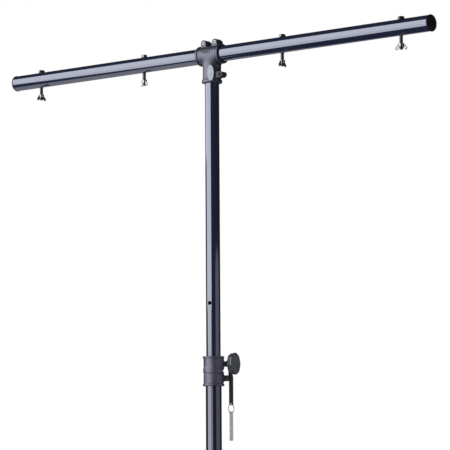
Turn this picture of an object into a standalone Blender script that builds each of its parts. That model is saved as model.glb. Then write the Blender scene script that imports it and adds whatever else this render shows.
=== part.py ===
# Light stand: a telescopic mast on a folding tripod, with a T-bar that carries four lamps.
# Metres, +Z up, origin on the floor under the mast, the crossbar along X, the front towards -Y.

import math

import bmesh
import bpy
from mathutils import Matrix, Vector

# Fits shared by every joint and seat
GAP = 0.0003
HOLE_FIT = 0.0004
OVERSHOOT = 0.002
MERGE = 0.00005

# Heights along the mast
BAR_HEIGHT = 1.980
CLAMP_TOP_DROP = 0.668

# Mast tubes
OUTER_TUBE_DIAMETER = 0.035
INNER_TUBE_DIAMETER = 0.03175
TUBE_WALL = 0.0012
TUBE_BOTTOM_MARGIN = 0.021
MAST_UP_TRAVEL = 0.400
MAST_OVERLAP = 0.200
PIN_HOLE_DIAMETER = 0.009
PIN_HOLE_ABOVE_CLAMP = 0.1165
PIN_HOLE_PITCH = 0.200
PIN_HOLE_COUNT = 4
PIN_HOLE_TURN = 10.0
GLIDE_SPIGOT_LENGTH = 0.022
GLIDE_FLANGE_THICKNESS = 0.003
GLIDE_RUNNING_GAP = 0.00035

# Crossbar and its lamp bolts
CROSSBAR_DIAMETER = 0.035
CROSSBAR_WALL = 0.0015
CROSSBAR_LENGTH = 1.200
END_CAP_DIAMETER = 0.0368
END_CAP_RIM = 0.0030
END_CAP_DOME = 0.0008
END_CAP_SPIGOT = 0.018
END_CAP_FACE_DIAMETER = 0.026
LAMP_BOLT_END_INSET = 0.080
LAMP_BOLT_SPACING = 0.320
LAMP_BOLT_TURNS = (10.0, 35.0, 20.0, 5.0)
WING_NUT_TURNS = (85.0, -15.0, 90.0, 20.0)
BOLT_THREAD_DIAMETER = 0.008
BOLT_HEAD_ACROSS_FLATS = 0.013
BOLT_HEAD_HEIGHT = 0.0053
BOLT_LENGTH = 0.065
LAMP_HOLE_DIAMETER = 0.009

# Wing nuts, hanging near the ends of the bolts with their bearing faces up
WING_NUT_DROP = 0.0165
WING_NUT_SPAN = 0.027
WING_NUT_HEIGHT = 0.0140
WING_NUT_HUB_HEIGHT = 0.0075
WING_NUT_HUB_DIAMETER = 0.0130
WING_NUT_NECK_DIAMETER = 0.0110
WING_THICKNESS = 0.0030
WING_TIP_RADIUS = 0.0036

# T-head casting
SLEEVE_LENGTH = 0.064
SLEEVE_DIAMETER = 0.0420
SLEEVE_RIM_DIAMETER = 0.0446
SLEEVE_RIM_WIDTH = 0.0050
SLEEVE_GROOVE = 0.0008
SOCKET_DIAMETER = 0.0410
SOCKET_FLANGE_DIAMETER = 0.0455
SOCKET_FLANGE_HEIGHT = 0.0070
SOCKET_BOTTOM_DROP = 0.063
SOCKET_TOP_DROP = 0.023
SLIT_WIDTH = 0.0025
SLEEVE_LUG_PLACE = 0.016
SLEEVE_LUG_RISE = 0.027
SLEEVE_LUG_RADIUS = 0.0070
SLEEVE_LUG_FRONT = 0.0110
SLEEVE_LUG_REAR = 0.0080
SOCKET_LUG_REACH = 0.030
SOCKET_LUG_DROP = 0.0465
SOCKET_LUG_RADIUS = 0.0064
SOCKET_LUG_HALF_DEPTH = 0.0085
BADGE_WIDTH = 0.014
BADGE_HEIGHT = 0.036
BADGE_FACE = 0.0232
BADGE_DROP = 0.043
BADGE_TURN = 32.0
BADGE_POINTS = 24
HEAD_ROOT = 0.004

# Socket screws and nuts of the T-head, M6 with low heads
HEAD_SCREW_DIAMETER = 0.006
HEAD_SCREW_CAP_DIAMETER = 0.010
HEAD_SCREW_CAP_HEIGHT = 0.004
HEAD_SCREW_KEY = 0.004
HEAD_SCREW_KEY_DEPTH = 0.002
HEAD_NUT_ACROSS_FLATS = 0.010
HEAD_NUT_HEIGHT = 0.005
THREAD_END = 0.0005

# Mast clamp between the outer and the inner tube
CLAMP_HEIGHT = 0.065
CLAMP_DIAMETER = 0.0440
CLAMP_RIM_DIAMETER = 0.0474
CLAMP_RIM_HEIGHT = 0.0045
CLAMP_BAND_DIAMETER = 0.0456
CLAMP_BAND_BOTTOM = 0.0280
CLAMP_BAND_TOP = 0.0394
CLAMP_GROOVE = 0.0008
CLAMP_TURN = 14.0
CLAMP_SEAT = 0.0300
EAR_ROOT = 0.002
CLAMP_SLIT_WIDTH = 0.0030
CLAMP_SLOT_BOTTOM = 0.0317
CLAMP_SLOT_TOP = 0.0354
CLAMP_EAR_HALF_DEPTH = 0.0070
CLAMP_SCREW_REACH = 0.0360
UPPER_EAR_HEIGHT = 0.0500
UPPER_EAR_RADIUS = 0.0080
UPPER_EAR_ROOT = 0.0122
LOWER_EAR_HEIGHT = 0.0185
LOWER_EAR_RADIUS = 0.0075
LOWER_EAR_ROOT = 0.0115
CLAMP_SCREW_DIAMETER = 0.008
CLAMP_CAP_DIAMETER = 0.013
CLAMP_CAP_HEIGHT = 0.008
CLAMP_KEY = 0.006
CLAMP_KEY_DEPTH = 0.004
CLAMP_NUT_ACROSS_FLATS = 0.013
CLAMP_NUT_HEIGHT = 0.0065
LINER_SLIT_WIDTH = 0.0040

# Clamp knob: a stem with a collar, a groove for the strap's eye, a bell and a lobed rim
KNOB_DIAMETER = 0.0476
KNOB_LOBE_DEPTH = 0.0011
KNOB_LOBES = 8
KNOB_RIM_THICKNESS = 0.0076
KNOB_FACE_REACH = 0.0380
KNOB_NECK_DIAMETER = 0.0108
KNOB_COLLAR_DIAMETER = 0.0134
KNOB_COLLAR_START = 0.0152
KNOB_COLLAR_END = 0.0186
BELL_FULLNESS = 2.0
STUD_IN_KNOB = 0.014

# Lanyard strap with its ring and safety pin
STRAP_WIDTH = 0.0095
STRAP_THICKNESS = 0.0020
STRAP_EYE_DIAMETER = 0.0170
STRAP_LENGTH_BELOW_KNOB = 0.0910
STRAP_HANG_REACH = 0.0250
STRAP_FACE_TURN = 39.9
STRAP_HOLE_DIAMETER = 0.0052
STRAP_HOLE_UP = 0.0040
RING_RADIUS = 0.0100
RING_WIRE_DIAMETER = 0.0016
RING_TURN = 93.0
RING_POINTS = 24
RING_WIRE_SIDES = 6
SAFETY_PIN_DIAMETER = 0.0080
SAFETY_PIN_LENGTH = 0.0640
SAFETY_PIN_HOLE = 0.0040
SAFETY_PIN_HOLE_DOWN = 0.0036
SAFETY_PIN_CHAMFER = 0.0008

# Folding tripod
HINGE_RADIUS = 0.040
STRUT_LENGTH = 0.250
LEG_LENGTH = 0.620
LEG_DIAMETER = 0.022
LEG_WALL = 0.0012
LEG_OPEN_ANGLE = 60.0
LEG_END_HEIGHT = 0.011
LEG_AZIMUTHS = (0.0, 120.0, 240.0)
LEG_PLUG_LENGTH = 0.010
LEG_PLUG_SPIGOT = 0.025
FOOT_DIAMETER = 0.028
FOOT_SLEEVE_LENGTH = 0.030
FOOT_END_WALL = 0.0077
FOOT_END_INSIDE = 0.004
STRUT_WIDTH = 0.014
STRUT_THICKNESS = 0.0015
STRUT_WEB_OFFSET = 0.0125
STRUT_WEB_START = 0.020
STRUT_WEB_END = 0.026
PIVOT_DIAMETER = 0.006
PIVOT_HEAD_DIAMETER = 0.010
PIVOT_HEAD_CROWN = 0.007
PIVOT_HEAD_HEIGHT = 0.002

# Leg hub and foot collar on the outer tube
HUB_DIAMETER = 0.047
HUB_RIM_DIAMETER = 0.050
HUB_RIM_HEIGHT = 0.004
HUB_UP = 0.030
HUB_DOWN = 0.026
HUB_SLIDE_FIT = 0.0005
CHEEK_THICKNESS = 0.004
CHEEK_RADIUS = 0.008
CHEEK_ROOT = 0.013
CHEEK_ROOT_RADIUS = 0.016
HUB_KNOB_AZIMUTH = 180.0
HUB_BOSS_DIAMETER = 0.016
HUB_BOSS_REACH = 0.031
HUB_BOSS_ROOT = 0.0035
HUB_KNOB_DIAMETER = 0.036
HUB_KNOB_THICKNESS = 0.012
HUB_KNOB_NECK = 0.006
HUB_KNOB_BACK_DIAMETER = 0.024
FOOT_COLLAR_HALF_HEIGHT = 0.0175
TONGUE_RADIUS = 0.0075
TONGUE_ROOT = 0.0125
TONGUE_ROOT_RADIUS = 0.0193
BASE_PLUG_SPIGOT = 0.016
BASE_PLUG_FLANGE = 0.004

# Facets of round pieces
TUBE_SIDES = 24
BODY_SIDES = 28
LEG_SIDES = 16
KNOB_SIDES = 24
SMALL_SIDES = 14
THREAD_SIDES = 10
ARC_STEPS = 6
LOBE_POINTS = 6

# Values worked out from the driving dimensions
CLAMP_TOP = BAR_HEIGHT - CLAMP_TOP_DROP
CLAMP_BOTTOM = CLAMP_TOP - CLAMP_HEIGHT
OUTER_RADIUS = OUTER_TUBE_DIAMETER / 2
INNER_RADIUS = INNER_TUBE_DIAMETER / 2
CROSSBAR_RADIUS = CROSSBAR_DIAMETER / 2
OUTER_LAMP_BOLT = CROSSBAR_LENGTH / 2 - LAMP_BOLT_END_INSET
INNER_LAMP_BOLT = OUTER_LAMP_BOLT - LAMP_BOLT_SPACING
LAMP_BOLT_PLACES = (-OUTER_LAMP_BOLT, -INNER_LAMP_BOLT, INNER_LAMP_BOLT, OUTER_LAMP_BOLT)
OUTER_TUBE_TOP = CLAMP_BOTTOM + CLAMP_SEAT
INNER_TUBE_TOP = BAR_HEIGHT - SOCKET_TOP_DROP - GAP
INNER_TUBE_BOTTOM = OUTER_TUBE_TOP - MAST_OVERLAP - MAST_UP_TRAVEL
LEG_ANGLE = math.radians(LEG_OPEN_ANGLE)
FOOT_COLLAR_HEIGHT = LEG_END_HEIGHT + (LEG_LENGTH - 2 * STRUT_LENGTH) * math.cos(LEG_ANGLE)
HUB_HEIGHT = FOOT_COLLAR_HEIGHT + 2 * STRUT_LENGTH * math.cos(LEG_ANGLE)
OUTER_TUBE_BOTTOM = FOOT_COLLAR_HEIGHT - TUBE_BOTTOM_MARGIN
COLLAR_BORE_RADIUS = OUTER_RADIUS + HOLE_FIT
LEG_RADIUS = LEG_DIAMETER / 2
CHEEK_INNER = LEG_RADIUS + GAP
STRUT_INNER = LEG_RADIUS + GAP
PIVOT_HOLE_RADIUS = PIVOT_DIAMETER / 2 + GAP
UP = Vector((0, 0, 1))


def clear_scene():
    for item in list(bpy.data.objects):
        bpy.data.objects.remove(item, do_unlink=True)


def new_collection(name):
    made = bpy.data.collections.new(name)
    bpy.context.scene.collection.children.link(made)
    return made


clear_scene()
PARTS = new_collection("light_stand")
CUTTERS = new_collection("cutters")


def material(name, colour, roughness, metallic):
    made = bpy.data.materials.new(name)
    made.use_nodes = True
    shader = made.node_tree.nodes["Principled BSDF"]
    shader.inputs["Base Color"].default_value = (*colour, 1.0)
    shader.inputs["Roughness"].default_value = roughness
    shader.inputs["Metallic"].default_value = metallic
    return made


BLACK_GLOSS = material("black_gloss_paint", (0.012, 0.013, 0.022), 0.12, 0.2)
CAST_GREY = material("grey_casting", (0.17, 0.16, 0.20), 0.40, 0.6)
CLAMP_GREY = material("dark_grey_casting", (0.10, 0.10, 0.14), 0.45, 0.4)
ZINC = material("bright_zinc", (0.55, 0.55, 0.53), 0.25, 1.0)
STEEL = material("dull_steel", (0.32, 0.33, 0.31), 0.35, 1.0)
BLACK_PLASTIC = material("black_plastic", (0.02, 0.02, 0.022), 0.40, 0.0)
KNOB_PLASTIC = material("grey_green_plastic", (0.05, 0.06, 0.06), 0.25, 0.0)
NYLON = material("white_nylon", (0.70, 0.70, 0.66), 0.50, 0.0)
RUBBER = material("black_rubber", (0.015, 0.015, 0.015), 0.80, 0.0)
STRAP_MATERIAL = material("strap_grey", (0.03, 0.032, 0.034), 0.45, 0.0)


def frame(name, location=(0, 0, 0), degrees=(0, 0, 0), parent=None):
    """An empty that carries a group of pieces."""
    empty = bpy.data.objects.new(name, None)
    PARTS.objects.link(empty)
    empty.location = location
    empty.rotation_euler = [math.radians(angle) for angle in degrees]
    empty.parent = parent
    return empty


def link(item, finish, parent, location=(0, 0, 0), rotation=(0, 0, 0)):
    """Put a finished piece in the model, with its material and its place in its parent."""
    PARTS.objects.link(item)
    item.data.materials.clear()
    item.data.materials.append(finish)
    item.parent = parent
    item.location = location
    item.rotation_euler = rotation
    return item


def object_of(name, mesh):
    return bpy.data.objects.new(name, mesh)


def turned(name, profile, sides=BODY_SIDES):
    """A profile of (radius, height) points about Z; its outer side runs from top to bottom."""
    mesh = bpy.data.meshes.new(name)
    closed = profile[0][0] > 0
    count = len(profile)
    edges = [(i, (i + 1) % count) for i in range(count if closed else count - 1)]
    mesh.from_pydata([(radius, 0, height) for radius, height in profile], edges, [])
    item = object_of(name, mesh)
    screw = item.modifiers.new("turn", "SCREW")
    screw.axis = "Z"
    screw.steps = sides
    screw.render_steps = sides
    screw.use_merge_vertices = True
    screw.merge_threshold = MERGE
    screw.use_smooth_shade = True
    return item


def tube(name, outer, inner, bottom, top, sides=TUBE_SIDES):
    return turned(name, [(outer, top), (outer, bottom), (inner, bottom), (inner, top)], sides)


def rod(name, radius, bottom, top, sides=SMALL_SIDES, top_radius=None):
    """A cylinder or a prism along Z."""
    mesh = bpy.data.meshes.new(name)
    shape = bmesh.new()
    bmesh.ops.create_cone(
        shape,
        cap_ends=True,
        segments=sides,
        radius1=radius,
        radius2=radius if top_radius is None else top_radius,
        depth=top - bottom,
        matrix=Matrix.Translation((0, 0, (top + bottom) / 2)),
    )
    shape.to_mesh(mesh)
    shape.free()
    return object_of(name, mesh)


def box(name, low, high):
    mesh = bpy.data.meshes.new(name)
    shape = bmesh.new()
    low, high = Vector(low), Vector(high)
    size = Matrix.Diagonal((*(high - low), 1))
    bmesh.ops.create_cube(shape, size=1, matrix=Matrix.Translation((low + high) / 2) @ size)
    shape.to_mesh(mesh)
    shape.free()
    return object_of(name, mesh)


def curve_to_mesh(name, curve_item):
    """The closed mesh of a curve object, with its caps welded; the curve is removed."""
    bpy.context.scene.collection.objects.link(curve_item)
    bpy.context.view_layer.update()
    seen = curve_item.evaluated_get(bpy.context.evaluated_depsgraph_get())
    mesh = bpy.data.meshes.new_from_object(seen)
    mesh.name = name
    shape = bmesh.new()
    shape.from_mesh(mesh)
    bmesh.ops.remove_doubles(shape, verts=shape.verts, dist=MERGE)
    bmesh.ops.recalc_face_normals(shape, faces=shape.faces)
    shape.to_mesh(mesh)
    shape.free()
    bpy.data.objects.remove(curve_item, do_unlink=True)
    return object_of(name, mesh)


def plate(name, outline, low, high, holes=()):
    """A flat outline in XY with its holes, extruded from low to high along Z."""
    curve = bpy.data.curves.new(name, "CURVE")
    curve.dimensions = "2D"
    curve.fill_mode = "BOTH"
    curve.extrude = (high - low) / 2
    for loop in (outline, *holes):
        spline = curve.splines.new("POLY")
        spline.points.add(len(loop) - 1)
        for point, (x, y) in zip(spline.points, loop):
            point.co = (x, y, 0, 1)
        spline.use_cyclic_u = True
    made = curve_to_mesh(name, bpy.data.objects.new(name + "_curve", curve))
    made.data.transform(Matrix.Translation((0, 0, (low + high) / 2)))
    return made


def arc(centre, radius, start, end, steps=ARC_STEPS):
    """Points on an arc; angles in degrees, both ends included."""
    angles = [math.radians(start + (end - start) * i / steps) for i in range(steps + 1)]
    return [(centre[0] + radius * math.cos(a), centre[1] + radius * math.sin(a)) for a in angles]


def circle_outline(centre, radius):
    return arc(centre, radius, 0, 360 - 360 / THREAD_SIDES, THREAD_SIDES - 1)


def lug_outline(root, root_half, reach, radius):
    """A lug that runs along +X from a straight root to a round end."""
    slope = math.degrees(math.asin((root_half - radius) / math.hypot(reach - root, root_half)))
    tip = arc((reach, 0), radius, -90 + slope, 90 - slope)
    return [(root, -root_half), *tip, (root, root_half)]


def oval_outline(width, height, points):
    angles = [math.tau * i / points for i in range(points)]
    return [(width / 2 * math.cos(a), height / 2 * math.sin(a)) for a in angles]


def lobed_outline(radius, depth, lobes):
    """A circle with shallow round hollows between its lobes."""
    count = lobes * LOBE_POINTS
    outline = []
    for i in range(count):
        angle = math.tau * i / count
        hollow = depth * (0.5 - 0.5 * math.cos(lobes * angle)) ** 2
        reach = radius - hollow
        outline.append((reach * math.cos(angle), reach * math.sin(angle)))
    return outline


def boolean(target, tool, operation, location, rotation):
    """Cut tool from target or join it on; the tool is placed in the target's own frame."""
    CUTTERS.objects.link(tool)
    tool.parent = target
    tool.location = location
    tool.rotation_euler = rotation
    tool.hide_render = True
    tool.display_type = "WIRE"
    step = target.modifiers.new(tool.name, "BOOLEAN")
    step.operation = operation
    step.solver = "EXACT"
    step.object = tool


def cut(target, tool, location=(0, 0, 0), rotation=(0, 0, 0)):
    boolean(target, tool, "DIFFERENCE", location, rotation)


def join(target, tool, location=(0, 0, 0), rotation=(0, 0, 0)):
    boolean(target, tool, "UNION", location, rotation)


def bevel(item, width, segments=1):
    step = item.modifiers.new("edges", "BEVEL")
    step.width = width
    step.segments = segments
    step.limit_method = "ANGLE"
    step.angle_limit = math.radians(50)


# Rotations that lay a piece made along Z on another axis
Z_TO_X = (0, math.pi / 2, 0)
Z_TO_FRONT = (math.pi / 2, 0, 0)
Z_TO_BACK = (-math.pi / 2, 0, 0)
LUG_UP = (math.pi / 2, -math.pi / 2, 0)


def across_corners(across_flats):
    return across_flats / math.sqrt(3)


def cap_screw(name, diameter, cap_diameter, cap_height, length, key, key_depth):
    """A socket screw along Z: its cap above z = 0, its shank below."""
    item = rod(name, cap_diameter / 2, 0, cap_height)
    shank = rod(name + "_shank", diameter / 2, -length, OVERSHOOT / 4, THREAD_SIDES)
    join(item, shank)
    socket_top = cap_height + OVERSHOOT
    cut(item, rod(name + "_key", across_corners(key), cap_height - key_depth, socket_top, 6))
    return item


def hex_nut(name, across_flats, height, bore_radius):
    """A hexagon nut that stands on z = 0."""
    item = rod(name, across_corners(across_flats), 0, height, 6)
    cut(item, rod(name + "_bore", bore_radius, -OVERSHOOT, height + OVERSHOOT, THREAD_SIDES))
    return item


# The mast

def plug_profile(spigot, flange, top, seat, bottom):
    """A plug with its spigot up and its flange below the seat."""
    return [(0, top), (spigot, top), (spigot, seat), (flange, seat), (flange, bottom), (0, bottom)]


def outer_tube(parent):
    inside = OUTER_RADIUS - TUBE_WALL
    item = tube("outer_tube", OUTER_RADIUS, inside, OUTER_TUBE_BOTTOM, OUTER_TUBE_TOP)
    link(item, BLACK_GLOSS, parent)


def base_plug(parent):
    spigot = OUTER_RADIUS - TUBE_WALL - HOLE_FIT
    seat = OUTER_TUBE_BOTTOM - GAP
    bottom = seat - BASE_PLUG_FLANGE
    top = OUTER_TUBE_BOTTOM + BASE_PLUG_SPIGOT
    profile = plug_profile(spigot, OUTER_RADIUS, top, seat, bottom)
    link(turned("base_plug", profile, TUBE_SIDES), BLACK_PLASTIC, parent)


def inner_tube(parent):
    inside = INNER_RADIUS - TUBE_WALL
    item = tube("inner_tube", INNER_RADIUS, inside, INNER_TUBE_BOTTOM, INNER_TUBE_TOP)
    for i in range(PIN_HOLE_COUNT):
        height = CLAMP_TOP + PIN_HOLE_ABOVE_CLAMP - i * PIN_HOLE_PITCH
        reach = INNER_RADIUS + OVERSHOOT
        drill = rod(f"pin_hole_{i + 1}", PIN_HOLE_DIAMETER / 2, -reach, reach)
        cut(item, drill, (0, 0, height), (math.pi / 2, 0, math.radians(PIN_HOLE_TURN)))
    link(item, BLACK_GLOSS, parent)


def glide_bush(parent):
    flange = OUTER_RADIUS - TUBE_WALL - GLIDE_RUNNING_GAP
    spigot = INNER_RADIUS - TUBE_WALL - HOLE_FIT
    seat = INNER_TUBE_BOTTOM - GAP
    bottom = seat - GLIDE_FLANGE_THICKNESS
    top = INNER_TUBE_BOTTOM + GLIDE_SPIGOT_LENGTH
    profile = plug_profile(spigot, flange, top, seat, bottom)
    link(turned("glide_bush", profile, TUBE_SIDES), NYLON, parent)


# The T-head

def sleeve_blank(name):
    half = SLEEVE_LENGTH / 2
    rim = SLEEVE_RIM_DIAMETER / 2
    body = SLEEVE_DIAMETER / 2
    rim_end = half - SLEEVE_RIM_WIDTH
    ease = SLEEVE_GROOVE
    side = [
        (rim - ease, half),
        (rim, half - ease),
        (rim, rim_end + ease),
        (body - ease, rim_end),
        (body - ease, rim_end - ease),
        (body, rim_end - 2 * ease),
    ]
    mirrored = [(radius, -height) for radius, height in reversed(side)]
    return turned(name, [(0, half), *side, *mirrored, (0, -half)])


def socket_blank(name):
    flange = SOCKET_FLANGE_DIAMETER / 2
    body = SOCKET_DIAMETER / 2
    bottom = -SOCKET_BOTTOM_DROP
    shoulder = bottom + SOCKET_FLANGE_HEIGHT
    ease = SLEEVE_GROOVE
    profile = [
        (0, 0),
        (body, 0),
        (body, shoulder + ease),
        (flange, shoulder - ease),
        (flange, bottom + ease),
        (flange - ease, bottom),
        (0, bottom),
    ]
    return turned(name, profile)


def t_head(parent):
    item = socket_blank("t_head")
    join(item, sleeve_blank("head_sleeve"), rotation=Z_TO_X)
    root = SLEEVE_DIAMETER / 2 - HEAD_ROOT
    lug = lug_outline(root, SLEEVE_LUG_RADIUS, SLEEVE_LUG_RISE, SLEEVE_LUG_RADIUS)
    for i, place in enumerate((-SLEEVE_LUG_PLACE, SLEEVE_LUG_PLACE)):
        blank = plate(f"sleeve_lug_{i + 1}", lug, -SLEEVE_LUG_REAR, SLEEVE_LUG_FRONT)
        join(item, blank, (place, 0, 0), LUG_UP)
    root = SOCKET_DIAMETER / 2 - HEAD_ROOT
    side_lug = lug_outline(root, SOCKET_LUG_RADIUS, SOCKET_LUG_REACH, SOCKET_LUG_RADIUS)
    depth = SOCKET_LUG_HALF_DEPTH
    join(item, plate("socket_lug", side_lug, -depth, depth), (0, 0, -SOCKET_LUG_DROP), Z_TO_FRONT)
    oval = oval_outline(BADGE_WIDTH, BADGE_HEIGHT, BADGE_POINTS)
    badge = plate("badge_boss", oval, root, BADGE_FACE)
    join(item, badge, (0, 0, -BADGE_DROP), (math.pi / 2, 0, math.radians(BADGE_TURN)))

    half = SLEEVE_LENGTH / 2 + OVERSHOOT
    cut(item, rod("sleeve_bore", CROSSBAR_RADIUS + HOLE_FIT, -half, half, TUBE_SIDES), rotation=Z_TO_X)
    low = -SOCKET_BOTTOM_DROP - OVERSHOOT
    cut(item, rod("socket_bore", INNER_RADIUS + HOLE_FIT, low, -SOCKET_TOP_DROP, TUBE_SIDES))
    slit = SLIT_WIDTH / 2
    top = SLEEVE_LUG_RISE + SLEEVE_LUG_RADIUS + OVERSHOOT
    cut(item, box("sleeve_slit", (-half, -slit, 0), (half, slit, top)))
    far = SOCKET_LUG_REACH + SOCKET_LUG_RADIUS + OVERSHOOT
    slit_top = -SOCKET_LUG_DROP + 2 * SOCKET_LUG_RADIUS
    cut(item, box("socket_slit", (0, -slit, low), (far, slit, slit_top)))
    hole_radius = HEAD_SCREW_DIAMETER / 2 + GAP
    pocket_radius = HEAD_SCREW_CAP_DIAMETER / 2 + GAP
    for i, (x, z, front) in enumerate(head_screw_places()):
        reach = front + OVERSHOOT
        drill = rod(f"head_screw_hole_{i + 1}", hole_radius, -reach, reach, THREAD_SIDES)
        cut(item, drill, (x, 0, z), Z_TO_FRONT)
        seat = front - HEAD_SCREW_CAP_HEIGHT - GAP
        pocket = rod(f"head_screw_pocket_{i + 1}", pocket_radius, seat, reach)
        cut(item, pocket, (x, 0, z), Z_TO_FRONT)
    link(item, CAST_GREY, parent)


def head_screw_places():
    """X, Z and front face of each clamp screw of the T-head."""
    return (
        (-SLEEVE_LUG_PLACE, SLEEVE_LUG_RISE, SLEEVE_LUG_FRONT),
        (SLEEVE_LUG_PLACE, SLEEVE_LUG_RISE, SLEEVE_LUG_FRONT),
        (SOCKET_LUG_REACH, -SOCKET_LUG_DROP, SOCKET_LUG_HALF_DEPTH),
    )


def head_screws(parent):
    """Two screws with nuts across the sleeve's slit, and one in the socket's threaded lug."""
    nut_end = SLEEVE_LUG_REAR + GAP + HEAD_NUT_HEIGHT + THREAD_END
    ends = (nut_end, nut_end, SOCKET_LUG_HALF_DEPTH - THREAD_END)
    names = ("sleeve_screw_left", "sleeve_screw_right", "socket_screw")
    for name, (x, z, front), end in zip(names, head_screw_places(), ends):
        seat = front - HEAD_SCREW_CAP_HEIGHT
        screw = cap_screw(
            name,
            HEAD_SCREW_DIAMETER,
            HEAD_SCREW_CAP_DIAMETER,
            HEAD_SCREW_CAP_HEIGHT,
            seat + end,
            HEAD_SCREW_KEY,
            HEAD_SCREW_KEY_DEPTH,
        )
        link(screw, ZINC, parent, (x, -seat, z), Z_TO_FRONT)
    bore = HEAD_SCREW_DIAMETER / 2 + GAP
    for side, place in (("left", -SLEEVE_LUG_PLACE), ("right", SLEEVE_LUG_PLACE)):
        nut = hex_nut(f"sleeve_nut_{side}", HEAD_NUT_ACROSS_FLATS, HEAD_NUT_HEIGHT, bore)
        link(nut, ZINC, parent, (place, SLEEVE_LUG_REAR + GAP, SLEEVE_LUG_RISE), Z_TO_BACK)


# The crossbar and what it carries

def crossbar(parent):
    half = CROSSBAR_LENGTH / 2 - END_CAP_RIM - GAP
    item = tube("crossbar", CROSSBAR_RADIUS, CROSSBAR_RADIUS - CROSSBAR_WALL, -half, half)
    for i, place in enumerate(LAMP_BOLT_PLACES):
        reach = CROSSBAR_RADIUS + OVERSHOOT
        drill = rod(f"lamp_hole_{i + 1}", LAMP_HOLE_DIAMETER / 2, -reach, reach)
        cut(item, drill, (0, 0, place), Z_TO_X)
    link(item, BLACK_GLOSS, parent, rotation=Z_TO_X)


def end_cap(name, parent, direction):
    half = CROSSBAR_LENGTH / 2
    rim = END_CAP_DIAMETER / 2
    ease = END_CAP_DOME
    spigot = CROSSBAR_RADIUS - CROSSBAR_WALL - GAP
    back = half - END_CAP_RIM
    inner = half - END_CAP_RIM - END_CAP_SPIGOT
    profile = [
        (0, half),
        (END_CAP_FACE_DIAMETER / 2, half - ease / 4),
        (rim - ease, half - ease),
        (rim, half - 2 * ease),
        (rim, back),
        (spigot, back),
        (spigot, inner),
        (0, inner),
    ]
    link(turned(name, profile), BLACK_PLASTIC, parent, rotation=(0, direction * math.pi / 2, 0))


def lamp_bolt(number, parent, turn):
    """A hexagon bolt through the bar; its origin is on the bar's axis."""
    name = f"lamp_bolt_{number}"
    seat = CROSSBAR_RADIUS + GAP
    item = rod(name, across_corners(BOLT_HEAD_ACROSS_FLATS), seat, seat + BOLT_HEAD_HEIGHT, 6)
    shank_top = seat + BOLT_HEAD_HEIGHT / 2
    radius = BOLT_THREAD_DIAMETER / 2
    join(item, rod(name + "_shank", radius, seat - BOLT_LENGTH, shank_top, THREAD_SIDES))
    link(item, ZINC, parent, rotation=(0, 0, math.radians(turn)))


def wing_outline():
    """One wing in the XZ plane of the nut, drawn down from its bearing face at z = 0."""
    tip = (WING_NUT_SPAN / 2 - WING_TIP_RADIUS, -WING_NUT_HEIGHT + WING_TIP_RADIUS)
    root = WING_NUT_HUB_DIAMETER / 4
    return [
        (root, -WING_THICKNESS / 4),
        (WING_NUT_HUB_DIAMETER / 2, -WING_THICKNESS / 2),
        *reversed(arc(tip, WING_TIP_RADIUS, -165, 35)),
        (root, -WING_NUT_HUB_HEIGHT),
    ]


def wing_nut(number, parent, turn):
    name = f"wing_nut_{number}"
    wide = WING_NUT_HUB_DIAMETER / 2
    neck = WING_NUT_NECK_DIAMETER / 2
    low = -WING_NUT_HUB_HEIGHT
    profile = [(0, 0), (wide, 0), (wide, -WING_THICKNESS / 2), (neck, low), (0, low)]
    item = turned(name, profile, SMALL_SIDES)
    half = WING_THICKNESS / 2
    for side in (0, 1):
        wing = plate(f"{name}_wing_{side + 1}", wing_outline(), -half, half)
        join(item, wing, rotation=(math.pi / 2, 0, side * math.pi))
    bore_radius = BOLT_THREAD_DIAMETER / 2 + GAP
    cut(item, rod(name + "_bore", bore_radius, -WING_NUT_HEIGHT, OVERSHOOT, THREAD_SIDES))
    drop = (0, 0, -CROSSBAR_RADIUS - WING_NUT_DROP)
    link(item, ZINC, parent, drop, (0, 0, math.radians(turn)))


# The mast clamp

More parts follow.
